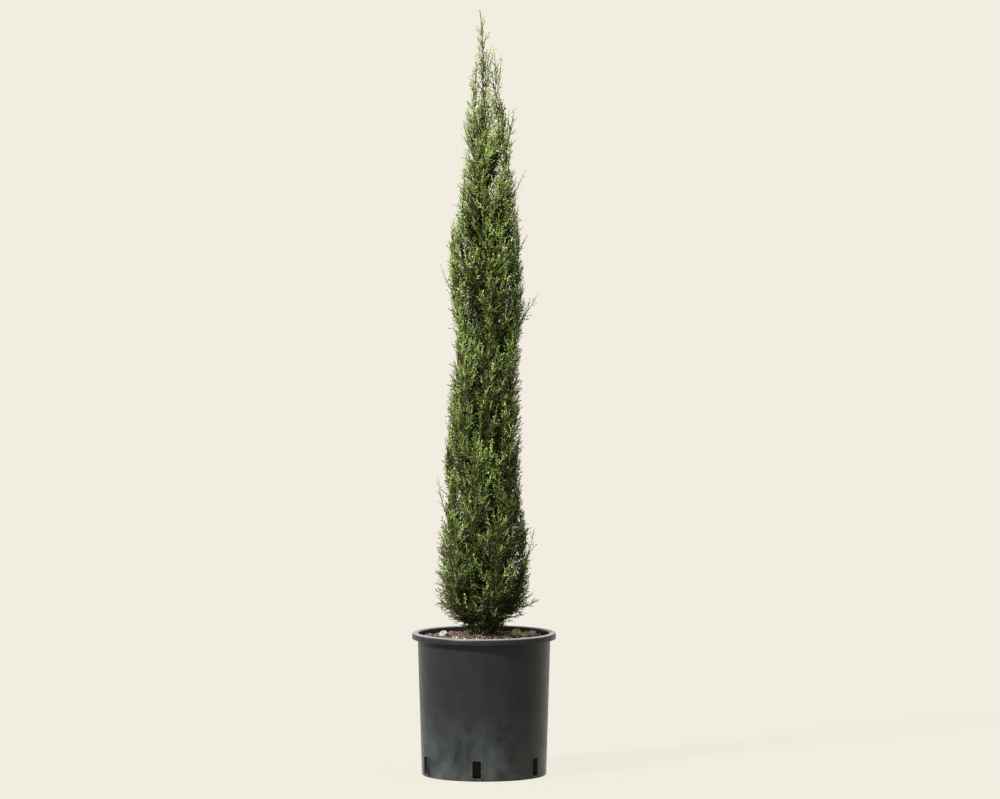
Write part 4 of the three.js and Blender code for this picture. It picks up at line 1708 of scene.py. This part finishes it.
@dataclass
class Foliage:
    """Twigs and sprays that carry every plume on inside its own space.

    Where a field is a pair and no comment says otherwise, the first holds at the crown's foot
    and the second at its top.
    """

    layout: Layout
    # Twigs that fill the crown. Their tips are set out first, and some of them are then left
    # out: at the top, at the foot, on the airy side, and where two plumes meet.
    tips: int = 3900
    tip_depth: float = 8.0
    tip_deepest: float = 0.8
    tip_bias: float = 2.2
    tip_least_out: float = 0.3
    bearing_range: float = 12.0
    top_thinning: float = 1.2
    top_power: int = 4
    top_most: float = 0.75
    foot_thinning: float = 0.8
    foot_zone: float = 0.07
    # The airy side's loss is whole below the first height and none above the second.
    airy_bearing: float = 0.0
    airy_heights: tuple[float, float] = (330.0, 660.0)
    airy_loss: float = 0.54
    airy_round: float = 0.5
    border: float = 3.0
    border_loss: float = 0.7
    spread: tuple[float, float] = (28.0, 18.0)
    spread_range: float = 8.0
    bow: float = 0.17
    # The least and the most of a stem's length where a twig may leave it.
    roots: tuple[float, float] = (0.03, 0.96)
    longest: float = 125.0
    shortest: float = 12.0
    # Shoots that stand on the trunk.
    shoots: tuple[Shoots, ...] = (
        Shoots(460, (284.0, 1170.0), (54.0, 30.0), (96.0, 62.0), 1.4),
        Shoots(90, (274.0, 300.0), (88.0, 58.0), (32.0, 50.0)),
    )
    shoot_range: float = 20.0
    shoot_root: float = 0.8
    shoot_tone: float = -1.0
    # The least and the most of its longest length that a shoot starts with.
    shoot_lengths: tuple[float, float] = (0.7, 1.0)
    lift: float = 0.55
    tip_room: float = 9.0
    length_step: float = 8.0
    # Shoots that stand out of the crown.
    strays: tuple[Strays, ...] = (
        Strays(30, math.inf, (0.2, 0.85), (18.0, 34.0), (2.0, 11.0)),
        Strays(9, 340.0, (0.02, 0.12), (40.0, 66.0), (1.0, 9.0)),
    )
    stray_turn: float = 52.0
    stray_tone: float = 0.3
    stray_size: float = 0.75
    # Wood. A twig's girth is its radius at its root and at its tip.
    twig_steps: int = 5
    twig_girth: tuple[float, float] = (1.0, 0.5)
    stem_steps: int = 22
    stem_girth: tuple[float, float] = (2.3, 1.3)
    stem_tip_girth: float = 0.7
    stem_sides: int = 7
    twig_sides: int = 3
    # Sprays: where they grow along a twig, how they stand and how long they are.
    spray_from: float = 0.22
    spray_to: float = 0.9
    spray_end: float = 0.96
    spray_slip: float = 0.3
    spray_spacing: tuple[float, float] = (6.9, 8.8)
    stem_spacing: tuple[float, float] = (6.0, 12.0)
    spray_angle: float = 34.0
    spray_range: float = 14.0
    spray_growth: float = 0.12
    spray_base: float = 13.0
    spray_share: tuple[float, float] = (0.95, 0.8)
    # Their size at a twig's root and tip, how they vary, and their least and most length.
    spray_taper: tuple[float, float] = (1.1, 0.75)
    spray_vary: tuple[float, float] = (0.8, 1.2)
    spray_sizes: tuple[float, float] = (8.0, 30.0)
    spray_kinds: int = 6
    spray: Spray = Spray()
    sprig: Spray = Spray(
        twiglets=4, twiglet_length=11.0, twiglet_radius=3.0, foot_angle=36.0, tip_angle=20.0)
    # Sparse sprays: the most of them, then the height past which they set in, as a share of the
    # crown's, and how fast.
    sprigs_most: float = 0.65
    sprigs_high: tuple[float, float] = (0.7, 3.8)
    sprigs_low: tuple[float, float] = (0.13, 5.0)
    # How unevenly sprays end at the outline, and how far inside it. At the top they end as far
    # outside it.
    feather: float = 5.0
    feather_inset: float = 3.0
    feather_power: int = 8
    trim_step: float = 3.0
    # Tints. The limits are the least freshness of FRESH, of BRIGHT and of what isn't DEEP.
    freshness: Freshness = Freshness()
    dryness: Dryness = Dryness()
    limits: tuple[float, float, float] = (0.7, 0.46, 0.16)
    skin_depth: float = 6.0
    olive: float = 2.2
    olive_least: float = 0.1
    olive_shuffle: float = 97.0
    stem_share: float = 0.3
    most_triangles: int = 190000

    def places(self, random: Seeded) -> Point:
        """Places for the twigs' tips, all through the crown, mostly just inside its outline.

        Args:
            random: The row of random numbers.

        Returns:
            The places, as rows.
        """
        crown = self.layout.crown
        heights, radii, _ = np.array(crown.outline, float).T
        bands = np.diff(heights) * (radii[1:] + radii[:-1]) / 2
        reached = np.concatenate([[0.0], np.cumsum(bands)])
        rows = []
        for i in range(self.tips):
            height = float(np.interp((i + random()) / self.tips * reached[-1], reached, heights))
            radius, lean = (float(value) for value in crown.across(height))
            inset = self.tip_depth + self.tip_deepest * radius * random() ** self.tip_bias
            out = max(self.tip_least_out * radius, radius - inset)
            bearing = math.degrees(i * GOLDEN_TURN) + random.either(self.bearing_range)
            high = crown.high(height)
            low = max(0.0, 1 - high / self.foot_zone)
            loss = min(self.top_most, self.top_thinning * high**self.top_power)
            loss += self.foot_thinning * low
            if random() > loss + self.airiness(bearing, height):
                rows.append(around(out, bearing, height) + [lean, 0, 0])
        return np.array(rows)

    def airiness(self, bearing: float, height: float) -> float:
        """How many tips are missing at a place: the crown is airier low down and on one side.

        Args:
            bearing: The place's side of the trunk, in degrees.
            height: Its height.

        Returns:
            The share of the tips that is missing.
        """
        low, high = self.airy_heights
        share = min(max((high - height) / (high - low), 0.0), 1.0)
        facing = max(0.0, math.cos(math.radians(bearing - self.airy_bearing)))
        return self.airy_loss * share * lerp(self.airy_round, 1.0, facing)

    def grow_twigs(self, random: Seeded) -> list[Twig]:
        """Twigs from every plume's stem to the tips in its own space.

        Args:
            random: The row of random numbers.

        Returns:
            The twigs.
        """
        places = self.places(random)
        gaps = self.layout.distances(places)
        owners, nearest = gaps.argmin(1), np.sort(gaps, 1)[:, :2]
        tones = [random.either(1) for _ in self.layout.plumes]
        twigs = []
        for place, own, (gap, next_gap) in zip(places, owners, nearest):
            stem, high = self.layout.plumes[own].stem, self.layout.crown.high(place[2])
            spread = math.radians(lerp(*self.spread, high) + random.either(self.spread_range))
            level = np.interp(place[2] - gap / math.tan(spread), stem.points[:, 2], stem.reach)
            share = min(max(level / stem.length, self.roots[0]), self.roots[1])
            root = stem.at(share)
            length = float(np.linalg.norm(place - root))
            on_border = next_gap - gap < self.border and random() < self.border_loss
            if on_border or not self.shortest < length < self.longest:
                continue
            bend = self.bend(root, place, stem.along(share))
            twigs.append(Twig(Line.bent([root, bend, place], 2 * self.twig_steps), tones[own]))
        return twigs

    def bend(self, root: Point, tip: Point, along: Point) -> Point:
        """Where a twig bends that leaves its stem steeply and then lifts beside it."""
        straight = tip - root
        away = straight - along * float(straight @ along)
        return root + straight / 2 + self.bow * (away - along * np.linalg.norm(away) / 2)

    def shoot(self, root: Point, heading: Point, along: Point, length: float) -> Line:
        """A shoot that starts along a heading and lifts towards the line of its stem.

        Args:
            root: Where it starts.
            heading: Which way it starts.
            along: Which way the stem grows beside it.
            length: Its length.

        Returns:
            Its line.
        """
        points = [root]
        for step in range(self.twig_steps):
            lift = self.lift * (step + 0.5) / self.twig_steps
            way = unit(lerp(heading, along, lift))
            points.append(points[-1] + way * length / self.twig_steps)
        return Line(np.array(points))

    def grow_shoots(self, shoots: Shoots, random: Seeded) -> list[Twig]:
        """Leafy shoots on the trunk, which close the heart and the foot of the crown.

        Args:
            shoots: The set of shoots.
            random: The row of random numbers.

        Returns:
            The shoots that stay inside the crown.
        """
        trunk, crown, twigs = self.layout.trunk, self.layout.crown, []
        for i in range(shoots.count):
            share = ((i + random()) / shoots.count) ** shoots.crowding
            height = lerp(*shoots.heights, share)
            bearing = math.degrees(i * GOLDEN_TURN) + random.either(self.shoot_range)
            away = around(1, bearing, 0)
            spread = math.radians(lerp(*shoots.spread, share) + random.either(self.spread_range))
            root = trunk.middle(height) + self.shoot_root * trunk.radius(height) * away
            heading = UP * math.cos(spread) + away * math.sin(spread)
            length = lerp(*shoots.longest, share) * lerp(*self.shoot_lengths, random())
            while length > self.shortest:
                line = self.shoot(root, heading, UP, length)
                if crown.depth(line.points[-1:])[0] > self.tip_room:
                    twigs.append(Twig(line, self.shoot_tone))
                    break
                length -= self.length_step
        return twigs

    def grow_strays(self, strays: Strays, random: Seeded) -> list[Twig]:
        """Thin shoots that stand out past the crown's outline.

        Args:
            strays: The set of shoots.
            random: The row of random numbers.

        Returns:
            The shoots.
        """
        crown, twigs = self.layout.crown, []
        plumes = [plume for plume in self.layout.plumes
                  if not plume.leader and plume.stem.points[0][2] < strays.below]
        for i in range(strays.count):
            plume = plumes[i % len(plumes)]
            share = lerp(*strays.roots, random())
            root, along = plume.stem.at(share), plume.stem.along(share)
            turn = math.radians(random.either(self.stray_turn))
            spread = math.radians(lerp(*strays.spread, random()))
            side = np.cross(along, plume.outward)
            away = plume.outward * math.cos(turn) + side * math.sin(turn)
            heading = along * math.cos(spread) + away * math.sin(spread)
            past, length = lerp(*strays.past, random()), self.shortest
            while length < self.longest:
                line = self.shoot(root, heading, along, length)
                if crown.depth(line.points[-1:])[0] < -past:
                    twigs.append(Twig(line, self.stray_tone, stray=True))
                    break
                length += self.length_step / 2
        return twigs

    def wood(self, name: str, lines: list[tuple[Line, float, float, int]], sides: int,
             finish: bpy.types.Material, tree: bpy.types.NodeTree) -> bpy.types.Object:
        """Stems or twigs as one joined piece.

        Args:
            name: The piece's name.
            lines: Each line with its foot's and tip's radius and its number of steps.
            sides: How many sides each has.
            finish: The material.
            tree: The tree that gives them their skin.

        Returns:
            The piece.
        """
        vertices, edges, girths = [], [], []
        for line, foot, tip, steps in lines:
            first = len(vertices)
            vertices.extend(line.at(np.linspace(0, 1, steps + 1)))
            girths.extend(np.linspace(foot, tip, steps + 1) * MM)
            edges.extend((first + i, first + i + 1) for i in range(steps))
        mesh = bpy.data.meshes.new(name)
        mesh.from_pydata((np.array(vertices) * MM).tolist(), edges, [])
        store(mesh, "girth", "FLOAT", girths)
        piece = into_scene(name, mesh)
        attach_tree(piece, tree, {"Sides": sides, "Finish": finish})
        return baked(piece)

    def spray_stock(self) -> bpy.types.Collection:
        """The patterns of spray, each from its own seed: the full ones, then the sparse ones.

        Returns:
            The collection that holds them.
        """
        tree, stock = spray_tree(), bpy.data.collections.new("sprays")
        middle = (self.spray_kinds - 1) / 2
        for kind in range(2 * self.spray_kinds):
            form = self.spray if kind < self.spray_kinds else self.sprig
            pattern = mesh_object(f"spray_{kind:02d}", [], [], smooth=False)
            attach_tree(pattern, tree, {
                "Length": form.length * MM,
                "Bend": form.length * MM / 2,
                "Curl": (kind % self.spray_kinds - middle) * form.curl * MM,
                "Axis Radius": form.axis_radius * MM,
                "Twiglets": form.twiglets,
                "Twiglet Length": form.twiglet_length * MM,
                "Twiglet Radius": form.twiglet_radius * MM,
                "Shoulder": form.shoulder * MM,
                "Foot Angle": math.radians(form.foot_angle),
                "Tip Angle": math.radians(form.tip_angle),
                "Seed": 10 * kind + 1,
            })
            baked(pattern)
            bpy.context.scene.collection.objects.unlink(pattern)
            stock.objects.link(pattern)
        return stock

    def tint_of(self, place: Point, share: float, tone: float, chance: float) -> Tint:
        """The tint of one spray: fresh near a twig's tip and high up, and darker deep in the
        crown, as older growth and as painted shade.

        Args:
            place: Its root.
            share: How far along its twig it grows.
            tone: Its plume's tone, from -1, dark, to 1, fresh.
            chance: A random number.

        Returns:
            The tint.
        """
        crown = self.layout.crown
        depth = max(0.0, float(crown.depth(place[None])[0]) - self.skin_depth)
        high = crown.high(place[2])
        dry, fresh = self.dryness, self.freshness
        if chance < dry.base + dry.foot * max(0.0, 1 - high / dry.zone) + dry.depth * depth:
            return Tint.RUSSET
        score = fresh.base + fresh.high * high + fresh.tone * tone + fresh.share * (share - 0.5)
        # Sprays deeper in the crown get darker tints: partly older growth, partly painted shade.
        score += fresh.chance * (chance - 0.5) - fresh.depth * depth
        if score > self.limits[0]:
            return Tint.FRESH
        if score > self.limits[1]:
            return Tint.BRIGHT
        if score < self.limits[2]:
            return Tint.DEEP
        low = chance * self.olive_shuffle % 1 > self.olive_least + self.olive * high
        return Tint.OLIVE if low else Tint.MIDDLE

    def grow_sprays(self, twigs: list[Twig]) -> dict[Tint, Planting]:
        """Sprays along every twig, the last carrying on its line.

        Args:
            twigs: The twigs.

        Returns:
            The sprays by tint.
        """
        random = Seeded(SPRAY_SEED)
        beds = {tint: Planting() for tint in Tint}
        for twig in twigs:
            shares = self.spray_shares(twig, random)
            start = random() * math.tau
            for j, share in enumerate(shares):
                self.grow_spray(twig, share, start + j * GOLDEN_TURN, beds, random)
        return beds

    def spray_shares(self, twig: Twig, random: Seeded) -> list[float]:
        """Where along a twig its sprays grow, the last of them at its tip.

        Args:
            twig: The twig.
            random: The row of random numbers.

        Returns:
            The shares of its length.
        """
        high = self.layout.crown.high(twig.line.points[-1][2])
        spacing = lerp(*(self.stem_spacing if twig.stem else self.spray_spacing), high)
        count = max(2, round((1 - self.spray_from) * twig.line.length / spacing))
        slips = (random.either(self.spray_slip) for _ in range(count))
        return [lerp(self.spray_from, self.spray_to, (j + slip) / (count - 1))
                for j, slip in enumerate(slips)] + [self.spray_end]

    def grow_spray(self, twig: Twig, share: float, turn: float, beds: dict[Tint, Planting],
                   random: Seeded) -> None:
        """Puts one spray on a twig, unless no room is left for it.

        Args:
            twig: The twig.
            share: How far along the twig it grows.
            turn: Its side of the twig, in radians.
            beds: Where the sprays are gathered by tint.
            random: The row of random numbers.
        """
        crown, last = self.layout.crown, share == self.spray_end
        root, along = twig.line.at(share), twig.line.along(min(share, 1.0))
        high = crown.high(root[2])
        lean = 0.0 if last else math.radians(
            self.spray_angle + random.either(self.spray_range))
        side = unit(np.cross(along, TWIG_ASKEW))
        away = side * math.cos(turn) + np.cross(along, side) * math.sin(turn)
        heading = along * math.cos(lean) + away * math.sin(lean)
        size = min(self.spray_growth * twig.line.length + self.spray_base, self.spray_sizes[1])
        size *= lerp(*self.spray_taper, share) * lerp(*self.spray_share, high)
        size *= lerp(*self.spray_vary, random())
        slack, chance, spin, kind = (random() for _ in range(4))
        if twig.stray:
            size *= self.stray_size
        else:
            inset = self.feather_inset * (1 - 2 * high**self.feather_power)
            room = inset + (2 * slack - 1) * self.feather
            size = self.trimmed(root, heading, size, room)
        if size < self.spray_sizes[0]:
            return
        few_above, few_below = self.sprigs_high, self.sprigs_low
        thin = max(min(self.sprigs_most, few_above[1] * (high - few_above[0])),
                   few_below[1] * (few_below[0] - high), float(twig.stray))
        pattern = int(kind * self.spray_kinds)
        if not last and chance < thin:
            pattern += self.spray_kinds
        tint = self.tint_of(root, self.stem_share if twig.stem else share, twig.tone, chance)
        scale = size / self.spray.length
        beds[tint].copies.append((root, heading, spin * math.tau, scale, pattern))

    def trimmed(self, root: Point, heading: Point, size: float, room: float) -> float:
        """The longest a spray can be, up to a size, with its tip in the outline by some room.

        Args:
            root: Where it grows.
            heading: Which way it grows.
            size: The most that it may be.
            room: How far inside the outline its tip has to be.

        Returns:
            Its length.
        """
        least, crown = self.spray_sizes[0] - self.trim_step, self.layout.crown
        while size > least and crown.depth(root + heading * size) < room:
            size -= self.trim_step
        return size

    def build(self, planting: bpy.types.NodeTree) -> list[bpy.types.Object]:
        """Makes the stems, the twigs and the sprays.

        Args:
            planting: The planting tree.

        Returns:
            The pieces.
        """
        random = Seeded(TWIG_SEED)
        twigs = self.grow_twigs(random)
        for strays in self.strays:
            twigs += self.grow_strays(strays, random)
        for shoots in self.shoots:
            twigs += self.grow_shoots(shoots, random)
        bark = Natural.TWIG.value.material()
        skin = twig_tree()
        stems = [
            (plume.stem, lerp(*self.stem_girth, self.layout.crown.high(plume.stem.points[-1][2])),
             self.stem_tip_girth, self.stem_steps)
            for plume in self.layout.plumes
        ]
        wood = [
            self.wood("plume_stems", stems, self.stem_sides, bark, skin),
            self.wood("foliage_twigs", [(twig.line, *self.twig_girth, self.twig_steps)
                                        for twig in twigs], self.twig_sides, bark, skin),
        ]
        leafy = twigs + [Twig(plume.stem, 0.0, stem=True) for plume in self.layout.plumes]
        stock, leaves = self.spray_stock(), []
        # A count on the high side: two triangles to each face of the fullest pattern.
        triangles = 2 * len(stock.objects[0].data.polygons)
        for tint, bed in self.grow_sprays(leafy).items():
            finish = tint.value.material()
            parts = max(1, math.ceil(len(bed.copies) * triangles / self.most_triangles))
            for part in range(parts):
                name = f"{tint.name.lower()}_sprays_{part + 1}"
                leaves.append(bed.share(part, parts).grown(name, stock, planting, finish))
        nodes = [name for name in frame["nodes"] if name.startswith("foliage")]
        for piece in wood + leaves:
            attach(piece, BODY)
            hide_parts(*nodes)
        LOG.info("%d twigs, %d leaf pieces", len(twigs), len(leaves))
        return wood + leaves


# ---- studio


@dataclass
class Studio:
    """A pale floor under even light, a soft key from the left, and the camera."""

    air: str = "#f2ede1"
    floor_radius: float = 400.0
    floor_sides: int = 96
    sight: float = 1000.0
    distance: float = 14.0
    camera_height: float = 1.74
    camera_side: float = 0.031
    tilt: float = 4.12
    lens: float = 260.5
    sensor: float = 36.0
    key_strength: float = 8.0
    key_bearing: float = -137.0
    key_height: float = 44.0
    key_softness: float = 8.0
    top_strength: float = 1.8
    top_height: float = 82.0
    top_softness: float = 50.0
    lamp_colour: str = "#fffdf8"
    horizon: float = -0.12
    air_strength: float = 0.84
    under_strength: float = 0.2
    floor_level: float = -0.3
    floor_white: float = 0.02
    floor_glow: float = 0.939

    def floor(self) -> bpy.types.Object:
        """A wide pale floor that glows a little, so that no hard shadow lies on it.

        Returns:
            The floor.
        """
        corners = circle(self.floor_radius / MM, self.floor_sides)
        floor = mesh_object("studio_floor", [(x, y, self.floor_level) for x, y in corners],
                            [range(self.floor_sides)])
        material, tree, shader, place = new_material("matt_white_paint")
        tooth = add(tree, "ShaderNodeTexNoise", {"Vector": place, "Scale": per_metre(4.0)})
        bump = add(tree, "ShaderNodeBump", {
            "Height": tooth, "Strength": 0.05, "Distance": 0.2 * MM})
        air = linear(self.air)
        feed(tree, shader, {
            "Base Color": (*(self.floor_white * part for part in air[:3]), 1.0),
            "Normal": bump, "Roughness": 1.0, "Specular IOR Level": 0.0, "Emission Color": air,
            "Emission Strength": self.floor_glow})
        floor.data.materials.append(material)
        floor.visible_diffuse = False
        return floor

    def light(self) -> None:
        """Fills the air with even light and hangs the key and the top lamp."""
        world = bpy.data.worlds.new("studio_air")
        world.use_nodes = True
        tree = world.node_tree
        way = add(tree, "ShaderNodeTexCoord").outputs["Generated"]
        rise = add(tree, "ShaderNodeSeparateXYZ", {"Vector": way}).outputs["Z"]
        strength = add(tree, "ShaderNodeMapRange", {
            "Value": rise, "From Min": self.horizon, "From Max": 0.0,
            "To Min": self.under_strength, "To Max": self.air_strength})
        feed(tree, tree.nodes["Background"], {"Color": linear(self.air), "Strength": strength})
        bpy.context.scene.world = world
        self.lamp("key", self.key_strength, self.key_softness, self.key_height)
        self.lamp("top", self.top_strength, self.top_softness, self.top_height)

    def lamp(self, name: str, strength: float, softness: float, height: float) -> None:
        """Hangs a far, soft lamp on the key's side.

        Args:
            name: The lamp's name.
            strength: How strongly it lights a surface that faces it.
            softness: How wide it looks, in degrees.
            height: How high it hangs over the horizon, in degrees.
        """
        light = bpy.data.lights.new(name, "SUN")
        light.energy, light.angle = strength, math.radians(softness)
        light.color = linear(self.lamp_colour)[:3]
        into_scene(name, light).rotation_euler = (
            math.radians(90 - height), 0, math.radians(self.key_bearing + 90))

    def camera(self) -> None:
        """Stands the camera in front of the pot, a little above the crown's top."""
        lens = bpy.data.cameras.new("camera")
        lens.lens, lens.sensor_width, lens.clip_end = self.lens, self.sensor, self.sight
        eye = into_scene("camera", lens)
        eye.location = (self.camera_side, -self.distance, self.camera_height)
        eye.rotation_euler = (math.radians(90 - self.tilt), 0, 0)
        bpy.context.scene.camera = eye

    def build(self) -> None:
        """Sets up the whole studio."""
        self.camera()
        self.light()
        self.floor()
        view = bpy.context.scene.view_settings
        view.view_transform, view.look = "Standard", "None"


def faces_in(pieces: Iterable[bpy.types.Object]) -> int:
    """How many triangles some pieces have."""
    return sum(len(face.vertices) - 2 for piece in pieces for face in piece.data.polygons)


def report(label: str, pieces: list[bpy.types.Object]) -> None:
    """Logs a sub-assembly's pieces."""
    LOG.info("%s: %d pieces, %d triangles", label, len(pieces), faces_in(pieces))


def main() -> None:
    """Builds the studio, the pot, the soil, the limbs and the foliage."""
    Studio().build()
    pot = NurseryPot()
    report("pot", [pot.build(BlackPolypropylene())])
    planting = planting_tree()
    report("soil", SoilBed(pot=pot).build(planting))
    layout = Layout(Crown(), Trunk())
    report("limbs", Limbs(layout).build(StringyBark()))
    report("foliage", Foliage(layout).build(planting))


if __name__ == "__main__":
    main()
